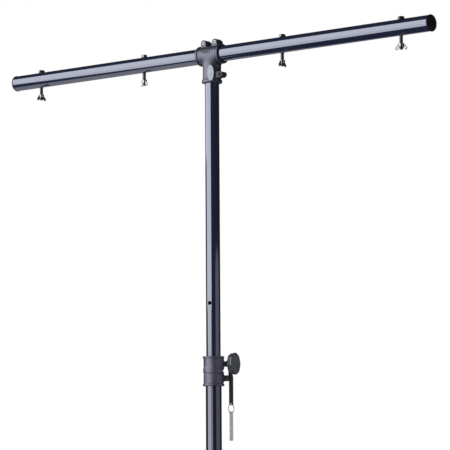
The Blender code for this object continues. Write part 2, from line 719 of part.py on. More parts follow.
def clamp_body(parent):
    rim = CLAMP_RIM_DIAMETER / 2
    body = CLAMP_DIAMETER / 2
    band = CLAMP_BAND_DIAMETER / 2
    ease = CLAMP_GROOVE
    top = CLAMP_HEIGHT
    profile = [
        (rim - ease, top),
        (rim, top - ease),
        (rim, top - CLAMP_RIM_HEIGHT + ease),
        (body, top - CLAMP_RIM_HEIGHT),
        (body, CLAMP_BAND_TOP),
        (band, CLAMP_BAND_TOP - ease),
        (band, CLAMP_BAND_BOTTOM + ease),
        (body - ease, CLAMP_BAND_BOTTOM),
        (body, CLAMP_BAND_BOTTOM - ease),
        (body, CLAMP_RIM_HEIGHT),
        (rim, CLAMP_RIM_HEIGHT - ease),
        (rim, ease),
        (rim - ease, 0),
        (COLLAR_BORE_RADIUS, 0),
        (COLLAR_BORE_RADIUS, top),
    ]
    item = turned("clamp_body", profile)
    root = CLAMP_DIAMETER / 2 - EAR_ROOT
    depth = CLAMP_EAR_HALF_DEPTH
    ears = (
        ("upper", UPPER_EAR_HEIGHT, UPPER_EAR_RADIUS, UPPER_EAR_ROOT),
        ("lower", LOWER_EAR_HEIGHT, LOWER_EAR_RADIUS, LOWER_EAR_ROOT),
    )
    rearward = (math.pi / 2, 0, math.pi / 2)
    for name, height, radius, root_half in ears:
        outline = lug_outline(root, root_half, CLAMP_SCREW_REACH, radius)
        join(item, plate(f"{name}_ear", outline, -depth, depth), (0, 0, height), rearward)
    slit = CLAMP_SLIT_WIDTH / 2
    far = CLAMP_SCREW_REACH + UPPER_EAR_RADIUS + OVERSHOOT
    cut(item, box("clamp_slit", (-slit, 0, -OVERSHOOT), (slit, far, top + OVERSHOOT)))
    wide = CLAMP_RIM_DIAMETER / 2 + OVERSHOOT
    cut(item, box("clamp_slot", (-wide, 0, CLAMP_SLOT_BOTTOM), (wide, far, CLAMP_SLOT_TOP)))
    for name, height, _, _ in ears:
        reach = depth + OVERSHOOT
        drill = rod(f"{name}_ear_hole", CLAMP_SCREW_DIAMETER / 2 + HOLE_FIT, -reach, reach)
        cut(item, drill, (0, CLAMP_SCREW_REACH, height), Z_TO_X)
    link(item, CLAMP_GREY, parent)


def clamp_liner(parent):
    """The split nylon sleeve that the knob squeezes on to the inner tube."""
    bottom = CLAMP_SEAT + GAP
    outer = COLLAR_BORE_RADIUS - HOLE_FIT
    item = tube("clamp_liner", outer, INNER_RADIUS + HOLE_FIT, bottom, CLAMP_HEIGHT - GAP)
    half = LINER_SLIT_WIDTH / 2
    cut(item, box("liner_slit", (-half, 0, 0), (half, 2 * outer, CLAMP_HEIGHT + OVERSHOOT)))
    link(item, NYLON, parent)


def clamp_screw(parent):
    seat = CLAMP_EAR_HALF_DEPTH + GAP
    length = 2 * seat + CLAMP_NUT_HEIGHT + THREAD_END
    place = (seat, CLAMP_SCREW_REACH, LOWER_EAR_HEIGHT)
    screw = cap_screw(
        "clamp_screw",
        CLAMP_SCREW_DIAMETER,
        CLAMP_CAP_DIAMETER,
        CLAMP_CAP_HEIGHT,
        length,
        CLAMP_KEY,
        CLAMP_KEY_DEPTH,
    )
    link(screw, ZINC, parent, place, Z_TO_X)
    bore = CLAMP_SCREW_DIAMETER / 2 + GAP
    for name, height in (("clamp_screw_nut", LOWER_EAR_HEIGHT), ("knob_nut", UPPER_EAR_HEIGHT)):
        nut = hex_nut(name, CLAMP_NUT_ACROSS_FLATS, CLAMP_NUT_HEIGHT, bore)
        link(nut, ZINC, parent, (-seat, CLAMP_SCREW_REACH, height), (0, -math.pi / 2, 0))


def bell_profile(start, end, neck, rim, steps=8):
    """The back of the clamp knob, from its face side down to its stem, as (radius, height)."""
    points = []
    for i in range(steps, -1, -1):
        share = i / steps
        flare = math.sin(share * math.pi / 2) ** BELL_FULLNESS
        points.append((neck + (rim - neck) * flare, start + (end - start) * share))
    return points


def lobed_knob(name, radius, lobe_depth, rim_bottom, rim_top, back, stud_radius, stud_depth):
    """A knob along Z: a lobed rim on a turned back, bored for its stud."""
    item = plate(name, lobed_outline(radius, lobe_depth, KNOB_LOBES), rim_bottom, rim_top)
    bevel(item, lobe_depth)
    stem = back[-1][1]
    core = [(0, rim_bottom + 2 * lobe_depth), *back, (0, stem)]
    join(item, turned(name + "_back", core, KNOB_SIDES))
    cut(item, rod(name + "_bore", stud_radius, stem - OVERSHOOT, stem + stud_depth, THREAD_SIDES))
    return item


def clamp_knob(parent):
    """The knob turns on the upper ear's screw axis; Z of its own frame points out along it."""
    neck = KNOB_NECK_DIAMETER / 2
    collar = KNOB_COLLAR_DIAMETER / 2
    stem = CLAMP_EAR_HALF_DEPTH + GAP
    bell_start = KNOB_COLLAR_END + STRAP_THICKNESS + 2 * GAP
    rim_back = KNOB_FACE_REACH - KNOB_RIM_THICKNESS
    rim_in = KNOB_DIAMETER / 2 - 2 * KNOB_LOBE_DEPTH
    back = [
        *bell_profile(bell_start, rim_back + KNOB_LOBE_DEPTH, collar, rim_in),
        (neck, bell_start),
        (neck, KNOB_COLLAR_END),
        (collar, KNOB_COLLAR_END),
        (collar, KNOB_COLLAR_START),
        (neck, KNOB_COLLAR_START),
        (neck, stem),
    ]
    stud_radius = CLAMP_SCREW_DIAMETER / 2
    item = lobed_knob(
        "clamp_knob",
        KNOB_DIAMETER / 2,
        KNOB_LOBE_DEPTH,
        rim_back,
        KNOB_FACE_REACH,
        back,
        stud_radius + GAP,
        STUD_IN_KNOB + GAP,
    )
    place = (0, CLAMP_SCREW_REACH, UPPER_EAR_HEIGHT)
    link(item, KNOB_PLASTIC, parent, place, Z_TO_X)
    end = -CLAMP_EAR_HALF_DEPTH - GAP - CLAMP_NUT_HEIGHT - THREAD_END
    stud = rod("clamp_knob_stud", stud_radius, end, stem + STUD_IN_KNOB, THREAD_SIDES)
    link(stud, ZINC, parent, place, Z_TO_X)


# The lanyard

def strap_sections():
    """Centre, width direction and thickness direction of the strap, in the clamp's frame."""
    face = math.radians(STRAP_FACE_TURN - CLAMP_TURN)
    clamped = KNOB_COLLAR_END + GAP + STRAP_THICKNESS / 2
    eye = STRAP_EYE_DIAMETER / 2
    reach = STRAP_HANG_REACH
    # Outward place and drop below the knob's axis, chosen to pass close under the bell and
    # behind the rim, with the share of the twist that is done there.
    route = (
        (clamped, eye * 0.5, 0.0),
        (clamped + 0.0002, 0.0080, 0.02),
        (clamped + 0.0012, 0.0112, 0.14),
        (clamped + 0.0027, 0.0146, 0.36),
        (reach - 0.0009, 0.0190, 0.64),
        (reach - 0.0001, 0.0240, 0.90),
        (reach, 0.0300, 1.0),
        (reach, STRAP_LENGTH_BELOW_KNOB, 1.0),
    )
    centres = [Vector((out, CLAMP_SCREW_REACH, UPPER_EAR_HEIGHT - drop)) for out, drop, _ in route]
    sections = []
    for i, (centre, (_, _, twist)) in enumerate(zip(centres, route)):
        before = centres[max(i - 1, 0)]
        after = centres[min(i + 1, len(centres) - 1)]
        along = (after - before).normalized()
        angle = math.pi / 2 + (face - math.pi / 2) * twist
        width = Vector((math.cos(angle), math.sin(angle), 0))
        width = (width - along * width.dot(along)).normalized()
        sections.append((centre, width, along.cross(width)))
    return sections


def strap(parent):
    """A flat strap, twisted to hang face on: a loft through its sections."""
    mesh = bpy.data.meshes.new("strap")
    shape = bmesh.new()
    rings = []
    for centre, width, thick in strap_sections():
        across = width * STRAP_WIDTH / 2
        through = thick * STRAP_THICKNESS / 2
        corners = (-across - through, across - through, across + through, -across + through)
        rings.append([shape.verts.new(centre + corner) for corner in corners])
    for upper, lower in zip(rings, rings[1:]):
        for i in range(4):
            shape.faces.new((upper[i], upper[(i + 1) % 4], lower[(i + 1) % 4], lower[i]))
    shape.faces.new(rings[0])
    shape.faces.new(list(reversed(rings[-1])))
    bmesh.ops.recalc_face_normals(shape, faces=shape.faces)
    shape.to_mesh(mesh)
    shape.free()
    item = object_of("strap", mesh)
    low = KNOB_COLLAR_END + GAP
    eye = rod("strap_eye", STRAP_EYE_DIAMETER / 2, low, low + STRAP_THICKNESS)
    axis = (0, CLAMP_SCREW_REACH, UPPER_EAR_HEIGHT)
    join(item, eye, axis, Z_TO_X)
    eye_hole = rod("strap_eye_hole", KNOB_NECK_DIAMETER / 2 + HOLE_FIT, 0, 2 * low)
    cut(item, eye_hole, axis, Z_TO_X)
    end_hole = rod("strap_end_hole", STRAP_HOLE_DIAMETER / 2, -OVERSHOOT, OVERSHOOT)
    face = math.radians(STRAP_FACE_TURN - CLAMP_TURN)
    cut(item, end_hole, strap_hole_place(), (math.pi / 2, 0, face))
    link(item, STRAP_MATERIAL, parent)


def strap_hole_place():
    """Centre of the hole that carries the ring, in the clamp's frame."""
    drop = STRAP_LENGTH_BELOW_KNOB - STRAP_HOLE_UP
    return Vector((STRAP_HANG_REACH, CLAMP_SCREW_REACH, UPPER_EAR_HEIGHT - drop))


def ring_top_place():
    """Where the ring's wire hangs in the strap's hole, in the clamp's frame."""
    rise = RING_WIRE_DIAMETER / 2 + 2 * GAP - STRAP_HOLE_DIAMETER / 2
    return strap_hole_place() + UP * rise


def ring(parent):
    """The wire ring, a torus; its origin is at its top, where it hangs."""
    bpy.ops.mesh.primitive_torus_add(
        major_radius=RING_RADIUS,
        minor_radius=RING_WIRE_DIAMETER / 2,
        major_segments=RING_POINTS,
        minor_segments=RING_WIRE_SIDES,
    )
    item = bpy.context.object
    item.name = "pin_ring"
    item.data.transform(Matrix.Translation((0, 0, -RING_RADIUS)) @ Matrix.Rotation(math.pi / 2, 4, "X"))
    for owner in list(item.users_collection):
        owner.objects.unlink(item)
    link(item, ZINC, parent, ring_top_place(), (0, 0, math.radians(RING_TURN - CLAMP_TURN)))


def safety_pin(parent):
    """The pin hangs on the ring's lowest point by its cross hole; its origin is that point."""
    radius = SAFETY_PIN_DIAMETER / 2
    hole = SAFETY_PIN_HOLE / 2
    rise = RING_RADIUS - math.sqrt(RING_RADIUS**2 - radius**2)
    below = rise + RING_WIRE_DIAMETER / 2 + GAP - hole
    top = below + SAFETY_PIN_HOLE_DOWN
    bottom = top - SAFETY_PIN_LENGTH
    ease = SAFETY_PIN_CHAMFER
    profile = [
        (0, top),
        (radius - ease, top),
        (radius, top - ease),
        (radius, bottom + ease),
        (radius - ease, bottom),
        (0, bottom),
    ]
    item = turned("safety_pin", profile, SMALL_SIDES)
    drill = rod("safety_pin_hole", hole, -radius - OVERSHOOT, radius + OVERSHOOT, THREAD_SIDES)
    cut(item, drill, (0, 0, below), Z_TO_X)
    place = ring_top_place() - UP * 2 * RING_RADIUS
    link(item, STEEL, parent, place, (0, 0, math.radians(RING_TURN - CLAMP_TURN)))


# The tripod

def hub_sleeve(name, bore, low, high):
    """The turned body that the hub and the foot collar share, rimmed at both ends."""
    radius = HUB_DIAMETER / 2
    rim = HUB_RIM_DIAMETER / 2
    ease = CLAMP_GROOVE
    profile = [
        (rim - ease, high),
        (rim, high - ease),
        (rim, high - HUB_RIM_HEIGHT),
        (radius, high - HUB_RIM_HEIGHT - ease),
        (radius, low + HUB_RIM_HEIGHT + ease),
        (rim, low + HUB_RIM_HEIGHT),
        (rim, low + ease),
        (rim - ease, low),
        (bore, low),
        (bore, high),
    ]
    return turned(name, profile)


def leg_hub(parent):
    """The sliding hub with three pairs of cheeks; z = 0 is the height of its pivots."""
    item = hub_sleeve("leg_hub", OUTER_RADIUS + HUB_SLIDE_FIT, -HUB_DOWN, HUB_UP)
    outline = lug_outline(CHEEK_ROOT_RADIUS, CHEEK_ROOT, HINGE_RADIUS, CHEEK_RADIUS)
    hole = circle_outline((HINGE_RADIUS, 0), PIVOT_HOLE_RADIUS)
    sides = (("left", -CHEEK_INNER - CHEEK_THICKNESS), ("right", CHEEK_INNER))
    for azimuth in LEG_AZIMUTHS:
        for side, low in sides:
            name = f"cheek_{azimuth:.0f}_{side}"
            cheek = plate(name, outline, low, low + CHEEK_THICKNESS, [hole])
            join(item, cheek, rotation=(math.pi / 2, 0, math.radians(azimuth)))
    outward = (0, math.pi / 2, math.radians(HUB_KNOB_AZIMUTH))
    boss = rod("hub_boss", HUB_BOSS_DIAMETER / 2, HUB_DIAMETER / 2 - HUB_BOSS_ROOT, HUB_BOSS_REACH)
    join(item, boss, rotation=outward)
    stud_hole = CLAMP_SCREW_DIAMETER / 2 + HOLE_FIT
    drill = rod("hub_stud_hole", stud_hole, OUTER_RADIUS - OVERSHOOT, HUB_BOSS_REACH + OVERSHOOT)
    cut(item, drill, rotation=outward)
    link(item, CAST_GREY, parent)


def hub_knob(parent):
    """The hub's clamp knob and its stud, whose own Z points out along the stud."""
    stem = HUB_BOSS_REACH + GAP
    rim_back = stem + HUB_KNOB_NECK
    neck = HUB_BOSS_DIAMETER / 2 - 2 * GAP
    ease = KNOB_LOBE_DEPTH
    wide = HUB_KNOB_BACK_DIAMETER / 2
    back = [(wide, rim_back + ease), (neck, rim_back - 2 * ease), (neck, stem)]
    stud_radius = CLAMP_SCREW_DIAMETER / 2
    item = lobed_knob(
        "hub_knob",
        HUB_KNOB_DIAMETER / 2,
        KNOB_LOBE_DEPTH,
        rim_back,
        rim_back + HUB_KNOB_THICKNESS,
        back,
        stud_radius + GAP,
        STUD_IN_KNOB + GAP,
    )
    outward = (0, math.pi / 2, math.radians(HUB_KNOB_AZIMUTH))
    link(item, KNOB_PLASTIC, parent, rotation=outward)
    tip = OUTER_RADIUS + HUB_SLIDE_FIT
    stud = rod("hub_knob_stud", stud_radius, tip, stem + STUD_IN_KNOB, THREAD_SIDES)
    link(stud, ZINC, parent, rotation=outward)


def headed_profile(low, high):
    """A rivet along Z, headed at high, and at low too where low is negative."""
    head = PIVOT_HEAD_DIAMETER / 2
    crown = PIVOT_HEAD_CROWN / 2
    shank = PIVOT_DIAMETER / 2
    tall = PIVOT_HEAD_HEIGHT
    profile = [(0, high + tall), (crown, high + tall), (head, high), (shank, high)]
    if low < 0:
        return [*profile, (shank, low), (head, low), (crown, low - tall), (0, low - tall)]
    return [*profile, (shank, low), (0, low)]


def hub_rivets(number, azimuth, parent):
    """Two headed stubs in the hub's cheeks, one on each side of the leg's top."""
    low = CHEEK_INNER
    high = CHEEK_INNER + CHEEK_THICKNESS + GAP
    turn = math.radians(azimuth)
    place = Matrix.Rotation(turn, 3, "Z") @ Vector((HINGE_RADIUS, 0, 0))
    for side, tilt in (("right", math.pi / 2), ("left", -math.pi / 2)):
        stub = turned(f"hub_rivet_{number}_{side}", headed_profile(low, high), THREAD_SIDES)
        link(stub, ZINC, parent, place, (tilt, 0, turn))


def foot_collar(parent):
    """The fixed collar at the foot of the outer tube, with a tongue for each pair of struts."""
    half = FOOT_COLLAR_HALF_HEIGHT
    item = hub_sleeve("foot_collar", COLLAR_BORE_RADIUS, -half, half)
    outline = lug_outline(TONGUE_ROOT_RADIUS, TONGUE_ROOT, HINGE_RADIUS, TONGUE_RADIUS)
    hole = circle_outline((HINGE_RADIUS, 0), PIVOT_HOLE_RADIUS)
    for azimuth in LEG_AZIMUTHS:
        tongue = plate(f"tongue_{azimuth:.0f}", outline, -LEG_RADIUS, LEG_RADIUS, [hole])
        join(item, tongue, rotation=(math.pi / 2, 0, math.radians(azimuth)))
    link(item, CAST_GREY, parent)


def strut_outline():
    """The side of a strut: its pivots lie on X, and its web's edge is parallel to them."""
    half = STRUT_WIDTH / 2
    edge = STRUT_WEB_OFFSET + STRUT_THICKNESS
    start = STRUT_WEB_START
    end = STRUT_LENGTH - STRUT_WEB_END
    return [
        *arc((STRUT_LENGTH, 0), half, -90, 90),
        (end, edge),
        (start, edge),
        *arc((0, 0), half, 90, 270),
    ]


def strut(number, parent):
    """A channel that straddles the leg and the tongue; Z of its frame runs along it."""
    holes = [circle_outline((place, 0), PIVOT_HOLE_RADIUS) for place in (0, STRUT_LENGTH)]
    outer = STRUT_INNER + STRUT_THICKNESS
    item = plate(f"strut_{number}", strut_outline(), STRUT_INNER, outer, holes)
    join(item, plate(f"strut_{number}_side", strut_outline(), -outer, -STRUT_INNER, holes))
    edge = STRUT_WEB_OFFSET + STRUT_THICKNESS
    low = (STRUT_WEB_START, STRUT_WEB_OFFSET, -outer)
    high = (STRUT_LENGTH - STRUT_WEB_END, edge, outer)
    join(item, box(f"strut_{number}_web", low, high))
    link(item, BLACK_GLOSS, parent, rotation=LUG_UP)


def pivot_pin(name, parent, location):
    """A pin across a leg, headed at both ends."""
    half = STRUT_INNER + STRUT_THICKNESS + GAP
    pin = turned(name, headed_profile(-half, half), THREAD_SIDES)
    link(pin, ZINC, parent, location, Z_TO_FRONT)


def leg(number, parent):
    """One leg: z = 0 is its strut pivot, and its top pivot is a strut's length above."""
    top = STRUT_LENGTH
    end = top - LEG_LENGTH
    inside = LEG_RADIUS - LEG_WALL
    reach = LEG_RADIUS + OVERSHOOT
    plug_seat = top - LEG_PLUG_LENGTH
    low = end + FOOT_END_INSIDE
    item = tube(f"leg_{number}", LEG_RADIUS, inside, low, plug_seat - GAP, LEG_SIDES)
    drill = rod(f"leg_{number}_pivot_hole", PIVOT_HOLE_RADIUS, -reach, reach, THREAD_SIDES)
    cut(item, drill, rotation=Z_TO_FRONT)
    link(item, BLACK_GLOSS, parent)

    spigot = inside - HOLE_FIT
    low = plug_seat - LEG_PLUG_SPIGOT
    dome = [(0, top + LEG_RADIUS), *arc((0, top), LEG_RADIUS, 75, 0, 5)]
    profile = [*dome, (LEG_RADIUS, plug_seat), (spigot, plug_seat), (spigot, low), (0, low)]
    plug = turned(f"leg_plug_{number}", profile, LEG_SIDES)
    hole = rod(f"leg_plug_{number}_hole", PIVOT_HOLE_RADIUS, -reach, reach, THREAD_SIDES)
    cut(plug, hole, (0, 0, top), Z_TO_FRONT)
    link(plug, BLACK_PLASTIC, parent)


def foot(number, parent, azimuth_frame):
    """A rubber boot over the leg's end, cut flat where it meets the floor."""
    end = STRUT_LENGTH - LEG_LENGTH
    outer = FOOT_DIAMETER / 2
    inner = LEG_RADIUS + HOLE_FIT
    floor = end + FOOT_END_INSIDE - GAP
    top = floor + FOOT_SLEEVE_LENGTH
    bottom = floor - FOOT_END_WALL
    ease = CLAMP_GROOVE
    profile = [
        (0, floor),
        (inner, floor),
        (inner, top),
        (outer - ease, top),
        (outer, top - ease),
        (outer, bottom + ease),
        (outer - ease, bottom),
        (0, bottom),
    ]
    item = turned(f"foot_{number}", profile, LEG_SIDES)
    reach = HINGE_RADIUS + LEG_LENGTH * math.sin(LEG_ANGLE)
    wide = FOOT_DIAMETER
    ground = box(f"ground_{number}", (reach - 2 * wide, -wide, -wide), (reach + 2 * wide, wide, 0))
    cut(item, ground)
    ground.parent = azimuth_frame
    link(item, RUBBER, parent)


def build_stand():
    stand = frame("stand")
    outer_tube(stand)
    base_plug(stand)
    inner_tube(stand)
    glide_bush(stand)

    head = frame("head", (0, 0, BAR_HEIGHT), parent=stand)
    t_head(head)
    head_screws(head)
    crossbar(head)
    end_cap("end_cap_left", head, -1)
    end_cap("end_cap_right", head, 1)
    turns = zip(LAMP_BOLT_PLACES, LAMP_BOLT_TURNS, WING_NUT_TURNS)
    for number, (place, bolt_turn, nut_turn) in enumerate(turns, 1):
        station = frame(f"lamp_station_{number}", (place, 0, 0), parent=head)
        lamp_bolt(number, station, bolt_turn)
        wing_nut(number, station, nut_turn)

    clamp = frame("clamp", (0, 0, CLAMP_BOTTOM), (0, 0, CLAMP_TURN), stand)
    clamp_body(clamp)
    clamp_liner(clamp)
    clamp_screw(clamp)
    clamp_knob(clamp)
    strap(clamp)
    ring(clamp)
    safety_pin(clamp)

    hub = frame("hub", (0, 0, HUB_HEIGHT), parent=stand)
    leg_hub(hub)
    hub_knob(hub)
    collar = frame("collar", (0, 0, FOOT_COLLAR_HEIGHT), parent=stand)
    foot_collar(collar)
    along = STRUT_LENGTH * math.sin(LEG_ANGLE)
    up = STRUT_LENGTH * math.cos(LEG_ANGLE)
    for number, azimuth in enumerate(LEG_AZIMUTHS, 1):
        side = frame(f"leg_{number}_azimuth", (0, 0, 0), (0, 0, azimuth), stand)
        strut_place = (HINGE_RADIUS, 0, FOOT_COLLAR_HEIGHT)
        strut_frame = frame(f"strut_{number}_axis", strut_place, (0, LEG_OPEN_ANGLE, 0), side)
        strut(number, strut_frame)
        pivot_pin(f"strut_pin_{number}", side, strut_place)
        pivot_pin(f"leg_pin_{number}", strut_frame, (0, 0, STRUT_LENGTH))
        hub_rivets(number, azimuth, hub)
        leg_place = (HINGE_RADIUS + along, 0, FOOT_COLLAR_HEIGHT + up)
        leg_frame = frame(f"leg_{number}_axis", leg_place, (0, -LEG_OPEN_ANGLE, 0), side)
        leg(number, leg_frame)
        foot(number, leg_frame, side)


def shade_round_pieces():
    """Smooth faces with sharp edges, for the pieces that no Screw modifier shades."""
    for item in PARTS.objects:
        if item.type == "MESH":
            item.data.shade_smooth()
            item.data.set_sharp_from_angle(angle=math.radians(35))


build_stand()
shade_round_pieces()
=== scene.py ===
# The light stand dressed for its picture. Smooth castings, painted tubes, threads and finishes
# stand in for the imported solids, in the same places and, but for small trim, at the same sizes.
# Metres, +Z up.

import math

import bmesh
import bpy
import numpy as np
from mathutils import Euler, Matrix, Vector


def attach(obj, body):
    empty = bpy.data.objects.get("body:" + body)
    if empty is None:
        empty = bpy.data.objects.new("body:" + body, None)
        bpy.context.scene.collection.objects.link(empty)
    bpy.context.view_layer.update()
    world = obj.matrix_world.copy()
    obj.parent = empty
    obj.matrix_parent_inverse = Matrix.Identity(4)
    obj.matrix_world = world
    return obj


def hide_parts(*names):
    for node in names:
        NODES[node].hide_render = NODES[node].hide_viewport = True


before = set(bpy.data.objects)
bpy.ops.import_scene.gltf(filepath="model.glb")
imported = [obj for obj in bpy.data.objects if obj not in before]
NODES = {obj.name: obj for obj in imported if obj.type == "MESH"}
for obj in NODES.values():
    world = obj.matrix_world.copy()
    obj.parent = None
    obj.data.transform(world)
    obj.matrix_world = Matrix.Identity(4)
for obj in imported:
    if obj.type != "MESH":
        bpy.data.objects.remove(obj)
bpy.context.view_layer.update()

# Fits and the fineness of the meshes
GAP = 0.0003
HOLE_FIT = 0.0004
CELL = 0.00068
NUT_CELL = 0.00036
ROUND_SIDES = 96
FINE_SIDES = 128
KNOB_SIDES = 192
THREAD_SIDES = 24

# The mast
BAR_HEIGHT = 1.980
CLAMP_BOTTOM = 1.247
OUTER_RADIUS = 0.0175
INNER_RADIUS = 0.015875
TUBE_WALL = 0.0012
OUTER_TUBE_BOTTOM = 0.050
OUTER_TUBE_TOP = 1.277
INNER_TUBE_BOTTOM = 0.677
INNER_TUBE_TOP = 1.9567
PIN_HOLE_RADIUS = 0.0045
PIN_HOLE_HEIGHTS = (1.4285, 1.2285, 1.0285, 0.8285)
PIN_HOLE_TURN = 10.0

# The crossbar with its caps, bolts and wing nuts
BAR_RADIUS = 0.0175
BAR_WALL = 0.0015
BAR_HALF = 0.5967
CAP_RADIUS = 0.0182
CAP_RIM = 0.0030
CAP_SPIGOT = 0.0175
LAMP_BOLT_PLACES = (-0.520, -0.200, 0.200, 0.520)
LAMP_BOLT_TURNS = (10.0, 35.0, 20.0, 5.0)
WING_NUT_TURNS = (85.0, -15.0, 90.0, 20.0)
LAMP_HOLE_RADIUS = 0.0045
BOLT_RADIUS = 0.004
BOLT_PITCH = 0.00125
BOLT_LENGTH = 0.065
BOLT_HEAD_FLATS = 0.013
BOLT_HEAD_HEIGHT = 0.0053
HEX_CHAMFER_SLOPE = math.tan(math.radians(28))
WING_NUT_DROP = 0.0165
WING_SPAN = 0.027
WING_HEIGHT = 0.0140
WING_HUB_HEIGHT = 0.0075
WING_HUB_RADIUS = 0.0065
WING_NECK_RADIUS = 0.0055
WING_BEAD = 0.0010
WING_WEB = 0.0011
WING_TIP_RADIUS = 0.0036
WING_ROOT = (0.0046, -0.0042, 0.0031)

# The T-head
SLEEVE_HALF = 0.032
SLEEVE_RADIUS = 0.021
SLEEVE_RIM_RADIUS = 0.0223
SLEEVE_RIM_WIDTH = 0.005
SOCKET_RADIUS = 0.0205
FLANGE_RADIUS = 0.02275
FLANGE_HEIGHT = 0.007
SOCKET_BOTTOM = -0.063
SOCKET_TOP = -0.023
HEAD_SLIT = 0.0025
LUG_PLACE = 0.016
LUG_RISE = 0.027
LUG_RADIUS = 0.007
LUG_FRONT = 0.011
LUG_REAR = 0.008
SIDE_LUG_REACH = 0.030
SIDE_LUG_DROP = 0.0465
SIDE_LUG_RADIUS = 0.0064
SIDE_LUG_DEPTH = 0.0085
BADGE_WIDTH = 0.014
BADGE_HEIGHT = 0.036
BADGE_FACE = 0.0232
BADGE_DROP = 0.043
BADGE_TURN = 32.0
BADGE_PAD_MARGIN = 0.0006
HEAD_SCREW_RADIUS = 0.003
HEAD_SCREW_CAP_RADIUS = 0.0042
HEAD_SCREW_POCKET = 0.0053
HEAD_SCREW_CAP_HEIGHT = 0.004
HEAD_SCREW_PITCH = 0.001
HEAD_NUT_FLATS = 0.010
HEAD_NUT_HEIGHT = 0.005
HEAD_KEY = 0.004
SLEEVE_KEY_DEPTH = 0.0027
SIDE_KEY_DEPTH = 0.002
NUT_BORE_FIT = 0.0002
HEAD_BOX = ((-0.033, -0.0245, -0.064), (0.038, 0.0245, 0.0355))

# The mast clamp; a pair is a low and a high end, and an ear its height, radius and root
CLAMP_HEIGHT = 0.065
CLAMP_RADIUS = 0.022
CLAMP_RIM_RADIUS = 0.0237
CLAMP_RIM_HEIGHT = 0.0045
CLAMP_BAND_RADIUS = 0.0228
CLAMP_BAND = (0.0280, 0.0394)
CLAMP_TURN = 14.0
CLAMP_SEAT = 0.030
CLAMP_SLIT = 0.003
CLAMP_SLOT = (0.0317, 0.0354)
EAR_DEPTH = 0.007
EAR_REACH = 0.036
UPPER_EAR = (0.0500, 0.0080, 0.0122)
LOWER_EAR = (0.0185, 0.0075, 0.0115)
EAR_PLATES = ((0.0366, 0.0635), (0.0090, 0.0305))
EAR_PLATE_REACH = 0.0395
EAR_START = 0.016
CLAMP_CAP_RADIUS = 0.0067
CLAMP_CAP_HEIGHT = 0.0108
CLAMP_NUT_FLATS = 0.013
CLAMP_NUT_HEIGHT = 0.0065
CLAMP_KEY = 0.006
CLAMP_KEY_DEPTH = 0.004
CLAMP_CAP_GROOVES = 32
CLAMP_BOX = ((-0.0245, -0.0245, -0.001), (0.0245, 0.0448, 0.066))
LINER_SLIT_HALF = 0.002
THREAD_END = 0.0005

# The clamp knob
KNOB_RADIUS = 0.0243
LOBE_DEPTH = 0.0007
LOBES = 8
KNOB_RIM = 0.0114
KNOB_BAND_WIDTH = 0.0042
KNOB_BAND_DEPTH = 0.0009
KNOB_FACE = 0.0368
KNOB_NECK_RADIUS = 0.0062
KNOB_COLLAR_RADIUS = 0.0071
KNOB_COLLAR = (0.0152, 0.0186)
BELL_FULLNESS = 2.0
STUD_IN_KNOB = 0.014

# The lanyard
STRAP_WIDTH = 0.0095
STRAP_THICKNESS = 0.0020
STRAP_DRAWN_SHARE = 0.85
STRAP_CORNER = 0.0007
STRAP_EYE_RADIUS = 0.0085
STRAP_LENGTH = 0.0910
STRAP_REACH = 0.0250
STRAP_FACE_TURN = 39.9
STRAP_HOLE_RADIUS = 0.0026
STRAP_HOLE_UP = 0.0040
RING_EYELET_RADIUS = 0.0015
RING_RADIUS = 0.0100
RING_WIRE_RADIUS = 0.0008
RING_WIRE_CORNER = 0.00028
RING_TURN = 93.0
RING_START = 200.0
PIN_RADIUS = 0.0040
PIN_LENGTH = 0.0640
PIN_CROSS_RADIUS = 0.0020
PIN_CROSS_DOWN = 0.0036

# The tripod
HINGE_RADIUS = 0.040
STRUT_LENGTH = 0.250
LEG_LENGTH = 0.620
LEG_RADIUS = 0.011
LEG_ANGLE = 60.0
LEG_AZIMUTHS = (0.0, 120.0, 240.0)
COLLAR_HEIGHT = 0.071
HUB_HEIGHT = 0.321
HUB_RADIUS = 0.0235
HUB_RIM_RADIUS = 0.025
HUB_RIM_HEIGHT = 0.004
HUB_UP = 0.030
HUB_DOWN = 0.026
HUB_SLIDE_FIT = 0.0005
CHEEK_INNER = 0.0113
CHEEK_THICKNESS = 0.004
CHEEK_RADIUS = 0.008
CHEEK_ROOT = 0.013
CHEEK_START = 0.016
HUB_BOSS_RADIUS = 0.008
HUB_BOSS_REACH = 0.031
HUB_KNOB_AZIMUTH = 180.0
HUB_KNOB_RADIUS = 0.018
HUB_KNOB_THICKNESS = 0.012
HUB_KNOB_NECK = 0.006
COLLAR_HALF = 0.0175
TONGUE_HOLLOW = (0.027, 0.0045, 0.031, 0.0030)
TONGUE_HOLLOW_DEPTH = 0.0030
TONGUE_RADIUS = 0.0075
TONGUE_ROOT = 0.0125
TONGUE_START = 0.017
PIVOT_RADIUS = 0.003
PIVOT_HEAD_RADIUS = 0.005
PIVOT_HEAD_HEIGHT = 0.002
STRUT_HALF_WIDTH = 0.007
STRUT_THICKNESS = 0.0015
STRUT_WEB_OFFSET = 0.0125
STRUT_WEB_START = 0.020
STRUT_WEB_END = 0.026
LEG_PLUG_LENGTH = 0.010
LEG_PLUG_SPIGOT = 0.025
FOOT_RADIUS = 0.014
FOOT_SLEEVE = 0.030
FOOT_END_WALL = 0.0077
FOOT_END_INSIDE = 0.004
FOOT_RIBS = 4
FOOT_RIB_PITCH = 0.0052
FOOT_RIB_DROP = 0.0050
BASE_PLUG_FLANGE = 0.004
BASE_PLUG_SPIGOT = 0.016
HUB_BOX = ((-0.049, -0.049, -0.027), (0.049, 0.049, 0.031))
COLLAR_BOX = ((-0.0485, -0.0485, -0.0185), (0.0485, 0.0485, 0.0185))

